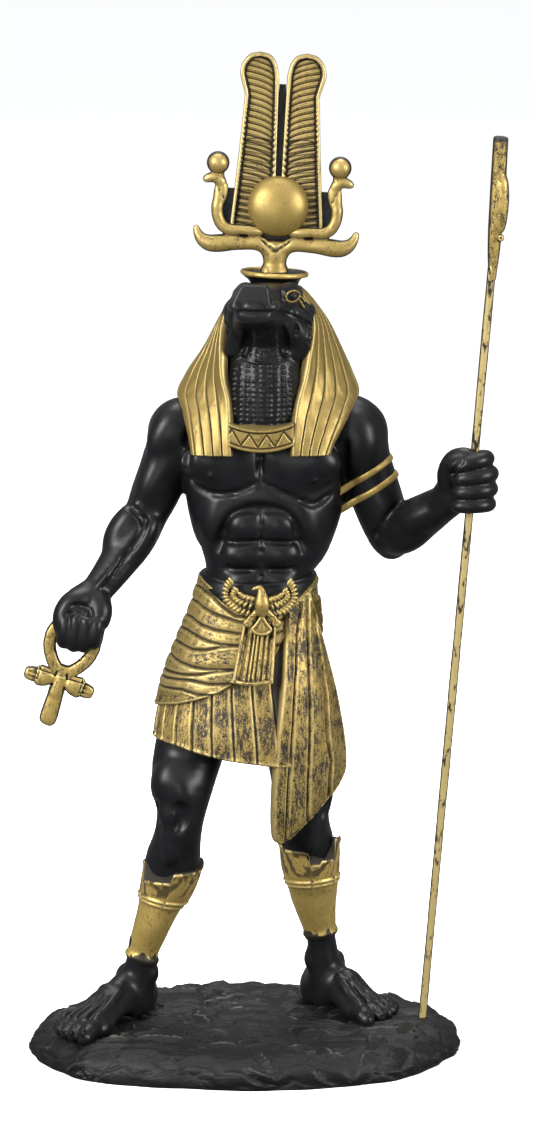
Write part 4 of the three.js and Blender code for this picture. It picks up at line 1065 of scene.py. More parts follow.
def skirt():
    """The pleated skirt under the wrap; its hem slopes down towards the left thigh."""
    hem = along_edge([
        (-180, 84), (-120, 87.6), (-88, 88.4), (-70, 88.1), (-50, 87.4), (-26, 85.2), (-12, 83.9), (5, 82.8),
        (16, 81.9), (40, 81), (90, 81.4), (180, 84),
    ])
    top = along_edge([(-180, 128), (180, 128)])
    pleats = 26
    wide, deep = 28, 17

    def swell(angle, z):
        phase = (angle / TURN * pleats - 0.4 + (z - 85) * 0.011) % 1
        width = np.hypot(wide * np.cos(angle), deep * np.sin(angle)) * TURN / pleats
        gap = np.minimum(phase, 1 - phase) * width
        place = on_oval(angle, z, wide, deep)
        wave = 0.28 * noise(place, (9, 9, 16), 2)
        rim = 0.3 * hill(z - hem(angle) - 0.5, 0.45)
        out = rim - 0.8 * hill(gap, 0.34) + 0.2 * (phase - 0.5)
        return out + wave + 0.07 * layered_noise(place, 1.6, 2, 5)

    points, faces = around(kilt_section, hem, top, 560, 110, swell, 1.5)
    # black is painted in front, in the gap between the apron and the side fall, as painted shade
    x, y, z = points.T
    return (points, faces), smooth(x, 7.8, 8.8) * smooth(-x, -15.5, -14.5) * (y < -6) * smooth(z, 88, 96)


FOLDS = [  # lower edges of the folds in front, as x and height, from the apron's side round to the right hip
    [(-24.5, 103.8), (-18.5, 104.2), (-13.7, 103.2), (-9, 103.4)],
    [(-23.5, 106.6), (-15.6, 107.2), (-10.4, 106.5), (-3.7, 106.9)],
    [(-22.2, 108.6), (-18.5, 108.5), (-14.3, 108.9), (-8.8, 110.2), (-4, 110.8)],
    [(-21.5, 113.1), (-18.5, 111.8), (-14.6, 111), (-10.8, 110.8), (-4, 111.1)],
    [(-18.9, 117.1), (-15.3, 116), (-11.4, 116.3), (-6.9, 117.5), (-2.7, 117.9)],
    [(-17, 121.1), (-14.3, 120.1), (-10.8, 118.9), (-6.9, 118.2), (-2.4, 118.1)],
    [(-15.7, 124.8), (-12.1, 123.1), (-8.2, 122.2), (-4.3, 121.8), (-1.8, 121.5)],
    [(-13.9, 129.3), (-9.5, 127), (-4.4, 125.7), (-1.1, 124.8)],
    [(-12.9, 133.5), (-9.5, 131.6), (-6.3, 129), (-2.4, 126.5)],
]
FOLDS_BEHIND = (101, 104.5, 108, 112, 116, 120, 124, 128.5, 133)


def fold_heights(angle):
    """The height of each fold's edge at each angle."""
    edges = []
    for line, behind in zip(FOLDS, FOLDS_BEHIND):
        x, z = np.array(line).T
        middle, _, wide, _ = kilt_section(z).T
        turned = np.degrees(np.arcsin(np.clip((x - middle) / (wide + 1.2), -0.99, 0.99)))
        stops = [-180, turned[0] - 45, *turned, 20, 60, 180]
        heights = [behind, z[0] + 0.6, *z, z[-1], behind + 1.5, behind]
        edges.append(np.interp(np.degrees(angle), stops, heights))
    return edges


WRAP_HEM = [
    (-180, 99), (-120, 97.5), (-80, 98), (-50, 99.7), (-34, 101.5), (-20, 103.9), (-11, 106.7), (5, 108),
    (16, 114), (24, 119.6), (40, 125.3), (52, 128.3), (80, 130), (110, 118), (150, 102), (180, 99),
]
WRAP_TOP = [
    (-180, 136.5), (-110, 137.2), (-75, 136.6), (-55, 135), (-38, 133), (-24, 130.6), (0, 128), (24, 128.2),
    (45, 131.4), (60, 134), (90, 136.6), (130, 136.8), (180, 136.5),
]


def wrap():
    """The cloth drawn round the hips in folds, up to the belt."""
    hem, top = along_edge(WRAP_HEM), along_edge(WRAP_TOP)

    def swell(angle, z):
        edges = fold_heights(angle)
        drawn = 0.35 + 0.65 * hill(angle + 0.9, 1.0)
        out = np.full(np.broadcast(angle, z).shape, 1.0)
        for low, high in zip(edges, edges[1:]):
            gap = np.maximum(high - low, 0.3)
            share = np.clip((z - low) / gap, 0, 1)
            rise = np.sin(math.pi * share**0.8) * np.minimum(gap, 5) / 5
            out = out + 0.7 * drawn * rise * (share > 0) * (share < 1)
        for edge in edges:
            side = z - edge
            out = out - 0.55 * drawn * hill(side, 0.3) + 0.12 * drawn * hill(side + 0.7, 0.6)
        # over the left hip the cloth is a plain strip between two rims
        strip = smooth(np.degrees(angle), 20, 40) * smooth(-np.degrees(angle), -100, -80)
        plain = 1.2 + 0.5 * hill(top(angle) - z - 0.6, 0.5) + 0.5 * hill(z - hem(angle) - 0.6, 0.5)
        out = mix(out, plain, strip)
        place = on_oval(angle, z, 26, 16)
        rim = 0.35 * hill(z - hem(angle) - 0.5, 0.5)
        return out + rim + 0.22 * noise(place, (8, 8, 3.4), 8) + 0.06 * layered_noise(place, 1.5, 2, 9)

    return around(kilt_section, hem, top, 420, 150, swell)


def belt():
    """The black band at the top of the kilt, under the wings of the clasp."""
    low = along_edge([(x, z - 1.5) for x, z in WRAP_TOP])
    high = along_edge([
        (-180, 138.6), (-90, 137.6), (-50, 137.2), (-20, 136.4), (0, 136), (20, 136.4), (50, 137),
        (90, 137.4), (180, 138.6),
    ])

    def swell(angle, z):
        lip = 0.3 * hill(high(angle) - z - 0.6, 0.6)
        return 0.5 + lip + 1.9 * hill(angle, 0.75) * smooth(high(angle) - z, -1, 4)

    return around(kilt_section, low, high, 240, 40, swell)


def rounded(share, edge):
    """0 at both ends of 0..1, rising to 1 within a margin of `edge`."""
    return np.sqrt(np.clip(1 - (1 - np.clip(np.minimum(share, 1 - share) / edge, 0, 1)) ** 2, 0, 1))


def apron():
    """The small panel below the clasp, with a rim on three sides and upright grooves."""
    s, t = np.meshgrid(np.linspace(0, 1, 96), np.linspace(0, 1, 100))
    left, right = mix(-0.2, -3.7, t), mix(9.6, 8.6, t)
    x = mix(left, right, s)
    z = mix(124.5, 107.4, t) - 0.7 * hill(s - 0.5, 0.4) * t + 0.25
    width = right - left
    near = np.minimum(np.minimum(x - left, right - x), (1 - t) * 17)  # the way to the rim
    rim = 0.55 * (1 - smooth(near, 0.75, 1.0))
    grooves = sum(hill((s - place) * width, reach) for place, reach in (
        (0.19, 0.45), (0.34, 0.28), (0.44, 0.24), (0.55, 0.3), (0.69, 0.34), (0.83, 0.4)))
    carved = 0.75 * grooves * smooth(near, 0.75, 1.0)
    place = np.stack([x, z * 0, z], axis=-1)
    front = -14.6 - 3.5 * t + 0.022 * (x - 3) ** 2 - rim + carved - 0.5 * rounded(s, 0.06)
    front = front + 0.06 * layered_noise(place, 1.4, 2, 12) + 0.25 * np.sin(s * 9 + 1) * t
    back = -12.4 - 2.2 * t + 0.022 * (x - 3) ** 2
    return slab(np.stack([x, front, z], axis=-1), np.stack([x, back, z], axis=-1))


def side_fall():
    """The long pleated end that hangs over the left thigh to a point in front of the shin."""
    right_edge = curve([
        [19.4, -7, 133], [23.4, -6, 119], [27.4, -4.5, 103], [29.8, -3, 90], [30.6, -3, 81],
        [29.6, -4.4, 76.5], [25.6, -8, 71], [20.4, -11, 65.6], [14.8, -13, 60.2], [11.6, -14, 58.2],
    ], 16)
    left_edge = curve([
        [12.8, -12.2, 129], [12.4, -14.4, 119], [11.6, -17, 104], [10.2, -18, 91], [9.4, -17.6, 80],
        [9, -17, 72], [8.9, -16, 65], [9.2, -15.2, 60.4], [9.8, -14.8, 58.6], [10.4, -14.6, 58],
    ], 16)
    columns, rows = 130, 220
    s = np.linspace(0, 1, columns)[None]
    t = np.linspace(0, 1, rows)[:, None]
    a, b = at(left_edge, t[:, 0]), at(right_edge, t[:, 0])
    grid = mix(a[:, None], b[:, None], s[..., None])
    width = np.linalg.norm(b - a, axis=-1)[:, None]
    out = unit(np.stack([0.45 + 0.3 * s, -0.85 + 0.25 * s, np.zeros_like(s)], axis=-1))
    bulge = np.sin(math.pi * s) * width * 0.15
    x, z = grid[..., 0] + out[..., 0] * bulge, grid[..., 2]
    grooves = (
        [(16.8, 129), (15.8, 121.4), (15.5, 112.7), (14.9, 102), (14.5, 92.5), (13.3, 77.7), (12.6, 60.4),
         (12.5, 56)],
        [(18.8, 127), (19.2, 110.7), (19.6, 101.5), (19.7, 92.5), (19.1, 75.1), (19, 67.8), (19, 60)],
        [(20.7, 129), (21.3, 121.2), (22.9, 111.7), (24.3, 102), (24.9, 88.6), (25.9, 82.2), (25.4, 73.7),
         (25.2, 66)],
    )
    cut, step = 0, 0
    for line in grooves:
        places, heights = np.array(line[::-1]).T
        away = x - np.interp(z, heights, places)
        cut = cut + 0.9 * hill(away, 0.34)
        step = step + 0.25 * (smooth(away, 0, 0.8) - smooth(away, 0.8, 4.6))
    edge = np.minimum(s, 1 - s) * width
    rim = 0.3 * hill(edge - 0.55, 0.42)
    place = np.stack([x, z * 0, z], axis=-1)
    wave = 0.25 * noise(place, (3.4, 3, 18), 3) + 0.07 * layered_noise(place, 1.5, 2, 14)
    lift = bulge + step + rim + wave - cut * smooth(edge, 0.3, 1.2)
    front = grid + out * (lift - 0.5 * (1 - rounded(s, 0.05)))[..., None]
    back = grid + out * (bulge * 0.9 - 2.6)[..., None]
    return slab(front, back)


def falcon():
    """The clasp: wings raised in three rows of feathers, claws on two rings, and a fanned tail."""
    clay = Clay((-9, -24, 119), (20, -9, 143), 0.19)
    middle = 5.3

    def front(x):
        return -16.9 + 0.024 * (x - middle) ** 2

    rows = [
        ([(-3.9, 139.8), (-5.6, 137.3), (-6.4, 133.6), (-4.9, 130.5), (-2.4, 128.6), (1.6, 127.7)],
         [(-3, 138), (-4.3, 136.2), (-4.8, 133.6), (-3.4, 131.5), (-1.1, 129.9), (2.2, 129)], 13),
        ([(-2.5, 137), (-3.5, 135.2), (-3.7, 133.6), (-2.5, 132.1), (-0.4, 130.9), (2.6, 130.1)],
         [(-1.7, 135.9), (-2.4, 134.8), (-2.4, 133.7), (-1.3, 132.8), (0.4, 132), (2.9, 131.3)], 9),
        ([(-1.6, 135.4), (-1.5, 134.6), (-0.9, 133.8), (0.3, 133.2), (1.7, 132.8), (3, 132.5)],
         [(-0.9, 134.8), (-0.3, 134.4), (0.5, 134.2), (1.5, 134), (2.4, 133.8), (3.2, 133.7)], 5),
    ]
    for side in (-1, 1):
        def place(x, z, proud=0.0, side=side):
            x = x if side < 0 else middle + 0.88 * (middle - x)
            return (x, front(x) - proud, z - (0.2 if side > 0 else 0))

        backing = [(-4.4, 137.6), (-4.6, 133.6), (-1.6, 131), (2.6, 130)]
        clay.strand([place(x, z, -1.5) for x, z in backing], (1.3, 1.6, 1.7, 1.7), 0.6)
        backing = [(-1.6, 134), (1, 132.8), (3.6, 131.6)]
        clay.strand([place(x, z, -1.4) for x, z in backing], (1.2, 1.6, 1.7), 0.6)
        for level, (outer, inner, count) in enumerate(rows):
            outer, inner = curve(outer, 6), curve(inner, 6)
            for i in range(count):
                (x0, z0), (x1, z1) = (at(line, np.array((i + 0.5) / count)) for line in (outer, inner))
                high = 0.35 + 0.28 * level
                middle_place = place((x0 + x1) / 2, (z0 + z1) / 2, high)
                feather = [place(x0, z0, high - 0.1), middle_place, place(x1, z1, high - 0.1)]
                clay.strand(feather, (0.54, 0.6, 0.46), 0.05)
    clay.tube([
        [middle, -17.6, 127.4, 0.8, 1], [middle, -18, 129.4, 1.9, 1.6], [middle, -18.2, 131.6, 2.3, 1.9],
        [middle, -18, 134, 1.8, 1.6], [middle - 0.2, -17.8, 136, 1.2, 1.2],
        [middle - 0.7, -17.8, 137, 0.9, 0.9],
    ], 0.4)
    clay.strand([(4.4, -17.9, 137), (3.2, -17.9, 136.7), (2.4, -17.8, 136.2)], (0.75, 0.45, 0.22), 0.3)
    for x in (1.1, 9.6):
        clay.strand([(middle + (x - middle) * 0.35, -17.8, 129.4), (x, -17.9, 126)], (1.0, 0.65), 0.5)
        clay.blob((x, -17.8, 125.5), (1.45, 0.9, 1.45), blend=0.3)
        clay.blob((x, -19, 125.5), (0.55, 0.6, 0.55), blend=0.2, remove=True)
    # the tail: a fan with a raised rim
    clay.strand([(middle - 0.1, -16.7, 127.6), (middle - 0.2, -17.2, 123.6)], (0.9, 2.6), 0.4)
    clay.shave((0, -18.4, 124), (0, -1, 0), 0.2, (1.4, -24, 120), (9.4, -14, 127.6))
    rim = [(5.1, 127.6), (3.6, 125.2), (2.5, 123.6), (3.4, 122.5), (5.2, 122), (7, 122.4), (7.9, 123.6),
           (6.8, 125.2), (5.4, 127.6)]
    clay.strand([(x, -18.4, z) for x, z in rim], 0.42, 0.15)
    for x in (4.6, 5.9):
        clay.strand([(middle - 0.1, -18.3, 126.8), (x, -18.4, 123.2)], 0.24, 0.1)
    clay.shave((0, -14.2, 130), (0, 1, 0), 0.2)
    points, faces = clay.form(1)
    # black stays between the feathers
    x, y, z = points.T
    proud = front(x) - y
    wing = smooth(np.abs(x - middle), 1.8, 2.6) * smooth(z, 127.6, 128.4)
    left_black = wing * smooth(-proud, -0.66, -0.46)
    points[:, 2] = mix(125, z, 0.93)  # the clasp is a little lower than it was carved
    return (points, faces), left_black


# The head


def head():
    """A crocodile's head with the chin raised, on a broad neck that a beaded bib covers."""
    clay = Clay((-11, -32, 170), (26, 16, 231), 0.33)
    clay.tube([
        [5.4, -3, 179, 10, 9], [5.5, -4.6, 184, 10.6, 10.2], [5.7, -4.8, 188, 11, 10.6],
        [6.2, -4, 196, 11.8, 10.9], [6.4, -2.4, 203, 10.8, 10.2], [6.9, -0.4, 210, 9.6, 9.4],
    ], 1.0)
    clay.tube([
        [3.1, -26.4, 217.4, 5.2, 2.6], [3.4, -22, 216.8, 6.2, 3.3], [4.3, -15, 215.2, 7.6, 4.6],
        [5.6, -9, 213, 10.2, 6.6], [6.9, -3, 210.4, 12, 8.4], [7.5, 3, 209, 12, 9],
    ], 1.4, square=2.6)
    clay.tube([
        [2.3, -31.5, 222.7, 5.8, 3.8], [2.4, -28, 222.4, 5.8, 3.8], [2.8, -24, 222, 6, 3.9],
        [3.7, -18, 221.1, 6.6, 4.1], [4.9, -12, 220, 8, 4.8], [6.3, -6, 218.7, 9.8, 5.8],
        [7.5, 0, 217.1, 10.6, 6.8], [8, 6, 215.8, 9.6, 7.4],
    ], 1.0, square=3.4)
    # the flat end of the snout, and its sloping sides
    clay.shave((2.6, -28.6, 222), (-0.06, -1, 0.06), 0.3)
    clay.shave((7.3, -28.6, 223.2), (0.95, -0.26, 0.12), 0.4, (4, -32, 220.2), (14, -16, 229))
    clay.shave((-2.2, -28.6, 223.2), (-0.88, -0.08, 0.46), 0.4, (-9, -32, 220.2), (2, -15, 229))
    for side in (-1, 1):
        x = 3 + side * 5
        lip = [(x, -27.2, 219.9), (x + side * 0.9, -24, 219.7), (x + side * 1.2, -19, 219.1)]
        clay.strand(lip, (1.5, 1.4, 1.2), 0.9)
        clay.blob((3.2 + side * 2.6, -26, 226), (1.3, 1.8, 0.7), blend=0.7)
        clay.blob((3.2 + side * 2.6, -27, 226.7), (0.5, 0.8, 0.5), blend=0.3, remove=True)
        # brow and eye socket, then the cheek and the corner of the jaw
        apart = 7.1 * side
        brow = [(6.4 + apart * 0.62, -14, 222.4), (7 + apart * 0.92, -9.4, 222.9),
                (7.6 + apart * 1.08, -4, 221.6)]
        clay.strand(brow, (1.1, 1.5, 1.4), 1.4)
        clay.blob((7.4 + side * 10.2, -3.4, 212.6), (3.6, 6, 6.4), (side * 0.2, 0.1, 1), 2.4)
        clay.blob((7 + side * 8.6, -5.6, 206.4), (3.6, 4.6, 4.6), blend=2.4)
        clay.strand([(7.2 + side * 7.6, -12, 216.4), (7.4 + side * 9.4, -7, 213.6)], (1.5, 1.9), 1.4)
    clay.strand([(1.4, -27.8, 219.9), (4.8, -27.8, 219.9)], 1.2, 0.9)
    clay.strand([(-0.8, -27.2, 217.7), (3, -27.7, 217.5), (6.8, -27.2, 217.7)], 0.9, 0.8)
    # the mouth, from the front to its corner below the cheek
    clay.strand([(-2.6, -28.6, 218.8), (3, -29, 218.7), (8.6, -28.6, 218.8)], 0.42, 0.3, remove=True)
    for side in (-1, 1):
        line = [(middle + side * away, y, z) for middle, away, y, z in (
            (3, 5.4, -28.4, 218.8), (3.2, 6.6, -24, 218.5), (3.8, 7.4, -18, 217.4), (5.2, 8.6, -13, 215.8),
            (6.4, 10.4, -9.6, 213.8), (7, 12.4, -7, 212.2),
        )]
        clay.groove([(x, 0, z) for x, _, z in line[2:]], (0.4, 0.55, 0.7, 0.9), 0.7)
        clay.strand(line[:4], (0.4, 0.45, 0.5, 0.5), 0.4, remove=True)
    # a smooth drape of hide from each corner of the mouth to the neck, with a slit and a hollow beside it
    drape = [(10.6, -12.4, 218.4), (13.2, -10.6, 213.8), (15.9, -8.8, 210), (16.2, -7.8, 206.6),
             (14.4, -7.8, 203.4)]
    clay.strand(drape, (1.6, 2.3, 2.6, 2.4, 1.6), 1.6)
    drape = [(-3.2, -13, 217.4), (-2.4, -11, 213), (-2.5, -9.8, 209.4), (-3.4, -8.6, 205)]
    clay.strand(drape, (1.2, 1.8, 2, 1.5), 1.4)
    clay.groove([(15.2, 0, 213.2), (15.6, 0, 211.6), (15.3, 0, 209.8)], (0.3, 0.6, 0.3), 0.4)
    clay.groove([(-4.8, 0, 213.6), (-4.4, 0, 211.8), (-4.8, 0, 210)], (0.2, 0.45, 0.2), 0.4)
    clay.groove([(1.2, 0, 212.4), (0.8, 0, 208), (-0.2, 0, 204)], (0.6, 1.1, 0.6), 1.3)
    clay.groove([(11.2, 0, 212.6), (12, 0, 208), (12, 0, 204)], (0.6, 1.2, 0.6), 1.3)
    random = np.random.default_rng(4)
    # the throat: folds like smiles, close together
    for i in range(15):
        z = 212.4 - 0.74 * i
        half = 3.6 + 0.25 * i
        middle = 5.3 + 0.02 * i
        line = [(middle - half, 0, z + 0.7), (middle, 0, z - 0.35), (middle + half, 0, z + 0.7)]
        clay.groove(line, (0.12, 0.26, 0.12), 0.35)
    # the bib: columns of flat beads, small and curved under the chin
    for row in range(1, 14):
        z = 202.6 - 1.46 * row
        for column in range(9):
            x = 5.4 + (column - 4) * 2.02 + random.uniform(-0.12, 0.12)
            small = 0.8 if row < 4 else 1.0
            spot = clay.drop([(x, -34, z - 0.08 * (column - 4) ** 2 * (row < 4))])[0]
            clay.blob(spot, (0.88 * small, 0.42, 0.6 * small), blend=0.14)
    # a stippled band lines the cloth on both sides of the face
    for side in (-1, 1):
        inner_edge = [-5.9, -6.6, -6.4, -5.4] if side < 0 else [17.2, 18.8, 19.7, 19.2]
        for _ in range(120):
            z = mix(213.6, 200, random.uniform(0, 1))
            x = np.interp(z, [199, 204.5, 210, 217], inner_edge)
            spot = clay.drop([(x - side * random.uniform(-0.5, 1.1), -34, z)])[0]
            if spot[1] < 0:
                clay.blob(spot, np.full(3, random.uniform(0.22, 0.36)), blend=0.2)
    eye = clay.drop([(14.2, -34, 221.3)])[0]
    clay.blob(eye, (1.9, 0.6, 1.5), blend=0.4, remove=True)
    clay.blob(eye + (0, 0.4, 0), (1.45, 1.15, 1.15), blend=0.15)
    mirrored = clay.drop([(0.4, -34, 221.5)])[0]
    clay.blob(mirrored + (-1.6, 4.5, 0), (1.5, 1.5, 1.3), blend=0.3)
    return clay


def eye_line(clay):
    """The gold outline of the eye, with two lines that run back from its outer corner."""
    ring = [(14.25 + 2.0 * math.cos(v), 221.3 + 1.62 * math.sin(v) - 0.12 * math.cos(v))
            for v in np.linspace(0, TURN, 25)]
    tails = ([(15.7, 220.3), (16.5, 219.2), (17.5, 217.6)], [(16.1, 220.9), (17.0, 220.2), (17.7, 219.1)])
    forms = []
    for line in (ring, *tails):
        points = clay.on_front(line)
        points[:, 1] -= 0.05
        forms.append(rod(points, 0.33, 10, 90 if line is ring else 24, across=(0, 1, 0)))
    return together(*forms)


def collar():
    """A band of engraved triangles between two rims."""
    s, t = np.meshgrid(np.linspace(0, 1, 200), np.linspace(0, 1, 80))
    half, tall, tooth_wide, tooth_tall = 9.5, 7, 5.0, 3.8
    across = mix(-half, half, s)
    dip = 1.8 * (1 - (across / half) ** 2)
    x = 5 + across
    z = mix(184.6, 177.6, t) - dip
    down = t * tall
    zigzag = np.abs(((across + 0.9) / tooth_wide) % 1 - 0.5) * 2
    slope = tooth_tall / (tooth_wide / 2)
    line = 1.6 + zigzag * tooth_tall
    cut = hill((down - line) / math.sqrt(1 + slope**2), 0.24)
    rim = hill(down - 0.62, 0.55) + hill(down - 6.38, 0.55)
    gutter = hill(down - 1.3, 0.2) + hill(down - 5.7, 0.2)
    inside = smooth(down, 1.2, 1.5) * smooth(-down, -5.8, -5.5)
    front = -15.6 - dip * 0.85 - 0.65 * np.clip(rim, 0, 1) + 0.55 * gutter + 0.55 * cut * inside
    front = front + 0.5 * (1 - rounded(t, 0.06))
    back = np.broadcast_to(-11.8 - dip * 0.5, front.shape)
    return slab(np.stack([x, front, z], axis=-1), np.stack([x, back, z], axis=-1))


# the height, then x and y of seven points: inner edge and fold on the figure's right, three round the back,
# and fold and inner edge on its left
HOOD = [
    [174.6, -3.8, -16.2, -15.2, -12, -1.6, 10, 6.8, 15.2, 15.6, 10, 25, -12, 14.1, -16.2],
    [177.5, -3.9, -15.8, -15.7, -10.6, -3, 10, 6.8, 15.2, 17, 10, 26.2, -10.6, 14.2, -15.8],
    [182.0, -4.0, -14.9, -16.7, -8.0, -7, 10, 6.8, 15.4, 21, 10, 28.6, -8.0, 14.6, -14.9],
    [187.0, -4.3, -13.6, -17.9, -4.2, -11, 11, 6.9, 16.0, 25.5, 11, 31.2, -4.2, 15.2, -13.6],
    [191.5, -4.8, -12.4, -19.1, 0.6, -13, 12, 7.0, 16.8, 28, 12, 33.0, 0.6, 16.2, -12.4],
    [197.5, -6.4, -10.8, -16.3, 2.8, -11, 13, 7.4, 18.0, 26.6, 13, 31.2, 2.8, 18.0, -10.8],
    [204.5, -7.0, -9.4, -11.8, 2.6, -7.6, 12.4, 8.0, 18.4, 24.2, 12.4, 28.3, 2.6, 19.4, -9.4],
    [211.9, -6.6, -8.0, -8.0, 2.0, -4.8, 12, 8.2, 17.6, 21.6, 12, 24.9, 2.0, 20.4, -8.0],
    [217.0, -5.0, -6.4, -5.0, 1.6, -2.4, 11, 8.2, 15.4, 19, 11, 21.5, 1.6, 19.6, -6.4],
    [220.6, -2.2, -4.4, -2.2, 1.4, 0.6, 9, 8.4, 12.4, 16.6, 9, 18.7, 1.4, 17.6, -4.4],
    [222.6, 1.6, -2.6, 1.8, 1.2, 3.6, 7, 8.6, 9.4, 14.8, 7, 16.6, 1.2, 15.4, -2.6],
]


def headcloth():
    """The striped cloth: one sheet from the lappet on the right breast, round the back, to the left one."""
    up = np.linspace(0, 1, 150)
    rows = at(curve(HOOD, 12), up)
    front_columns, back_columns, stripes_front, stripes_back = 100, 120, 5, 12
    grid, lengths = [], []
    for row in rows:
        path = curve(np.array(row[1:]).reshape(7, 2), 20)
        length = np.concatenate([[0], np.cumsum(np.linalg.norm(np.diff(path, axis=0), axis=1))])
        right_fold, left_fold = length[20], length[-21]
        stops = np.concatenate([
            np.linspace(0, right_fold, front_columns, endpoint=False),
            np.linspace(right_fold, left_fold, back_columns, endpoint=False),
            np.linspace(left_fold, length[-1], front_columns + 1),
        ])
        grid.append(np.stack([np.interp(stops, length, path[:, n]) for n in (0, 1)], axis=-1))
        lengths.append(stops)
    grid, lengths = np.array(grid), np.array(lengths)
    z = np.broadcast_to(rows[:, :1], grid.shape[:2])
    grid = np.concatenate([grid, z[..., None]], axis=-1)
    unfolded = np.concatenate([
        np.linspace(0, stripes_front, front_columns, endpoint=False),
        stripes_front + np.linspace(0, stripes_back, back_columns, endpoint=False),
        stripes_front + stripes_back + np.linspace(0, stripes_front, front_columns + 1),
    ])
    # each stripe is a low ridge with a groove beside it, but the two edges of the cloth have no groove
    total = 2 * stripes_front + stripes_back
    phase = unfolded % 1
    width = np.gradient(lengths, axis=1) / np.gradient(unfolded)
    gap = np.minimum(phase, 1 - phase) * width
    inside = smooth(unfolded, 0.3, 0.6) * smooth(total - unfolded, 0.3, 0.6)
    ridge = 0.14 * (1 - (2 * phase - 1) ** 4)
    along = np.gradient(grid, axis=1)
    out = unit(np.stack([-along[..., 1], along[..., 0], np.zeros_like(z)], axis=-1))
    sway = 0.07 * layered_noise(grid, 1.8, 2, 6)
    edge = np.minimum(lengths - lengths[:, :1], lengths[:, -1:] - lengths)
    lip = rounded(np.clip(edge / 4, 0, 0.5), 0.22)
    hem = rounded(np.clip(up / 2, 0, 0.5), 0.006)[:, None]
    lift = ridge - 0.7 * hill(gap, 0.18) * inside + sway + 0.35 * lip + 0.5 * hem - 0.6
    front = grid + out * lift[..., None]
    back = grid - out * 2.4
    return slab(front, back)


def armlets(clay):
    """Two rounded bands that slant round the left upper arm, laid on the skin."""
    forms, turns = [], 72
    neighbours = np.array([[i, (i + n) % turns] for i in range(turns) for n in (1, -1)])
    axis = unit(np.array([0.62, 0, -1.0]))
    side = unit(np.cross((0, 1, 0), axis))
    for middle in (np.array([35.95, 3.4, 167]), np.array([38.35, 3.4, 162.5])):
        laid = []
        for a in np.linspace(0, TURN, turns, endpoint=False):
            way = side * math.sin(a) - np.array([0, 1, 0]) * math.cos(a)
            laid.append(clay.drop([middle + way * 14], -way)[0])
        laid = relax(np.array(laid), neighbours, 6)
        out = unit(laid - middle)
        turn = np.linspace(0, TURN, 20, endpoint=False)
        tall = np.sign(np.cos(turn)) * np.abs(np.cos(turn)) ** 0.6 * 1.05
        proud = 0.05 + 0.65 * np.sin(turn)
        ring = laid[:, None] + out[:, None] * proud[None, :, None] + axis * tall[None, :, None]
        forms.append(hoop(ring))
    return together(*forms)


def hoop(grid):
    """A closed ring from a grid that is closed both ways."""
    rows, columns = grid.shape[:2]
    index = np.arange(rows * columns).reshape(rows, columns)
    down, right = np.roll(index, -1, axis=0), np.roll(index, -1, axis=1)
    both = np.roll(down, -1, axis=1)
    return grid.reshape(-1, 3), np.stack([index, right, both, down], axis=-1).reshape(-1, 4).tolist()


CAP = np.array([8.94, 2.0])  # x and y of the middle of the flat cap on the head


def cap_neck():
    """The turned black neck of the cap, which widens to the plate under the crown."""
    turns = 96
    profile = curve([(6.9, -10), (6.9, -6.4), (7, -4.6), (7.7, -3.1), (8.9, -2.1), (9.3, -1.7)], 6).tolist()
    profile += [(9.2, -1), (8.8, -0.85), (5, -0.8), (0.1, -0.8)]
    radii, heights = np.array(profile, float).T[..., None]
    a = np.arange(turns) * TURN / turns
    x = CAP[0] + radii * np.sin(a)
    y = CAP[1] - radii * np.cos(a)
    return closed_form(np.stack([x, y, np.broadcast_to(CAP_TOP + heights, x.shape)], axis=-1))


def cap_rim():
    """The gold ring round the cap, a little lower at the figure's left."""
    thick = 0.72
    a = np.linspace(0, TURN, 100, endpoint=False)[:, None]
    b = np.linspace(0, TURN, 18, endpoint=False)[None]
    radius = 9.35 + thick * np.cos(b)
    z = CAP_TOP - 1.2 + thick * np.sin(b) - 0.045 * radius * np.sin(a)
    return hoop(np.stack([CAP[0] + radius * np.sin(a), CAP[1] - radius * np.cos(a), z], axis=-1))


# The crown


def leant(points, degrees):
    """Points that lean over to the figure's left, round the origin."""
    lean = math.radians(degrees)
    turn = np.array([[math.cos(lean), 0, math.sin(lean)], [0, 1, 0], [-math.sin(lean), 0, math.cos(lean)]])
    return points @ turn.T


def seated(form):
    """Sets a form of the crown's own frame on the cap, leaning a little."""
    points, faces = form
    return leant(points, 2.6) + (CAP[0], CAP[1], CAP_TOP), faces


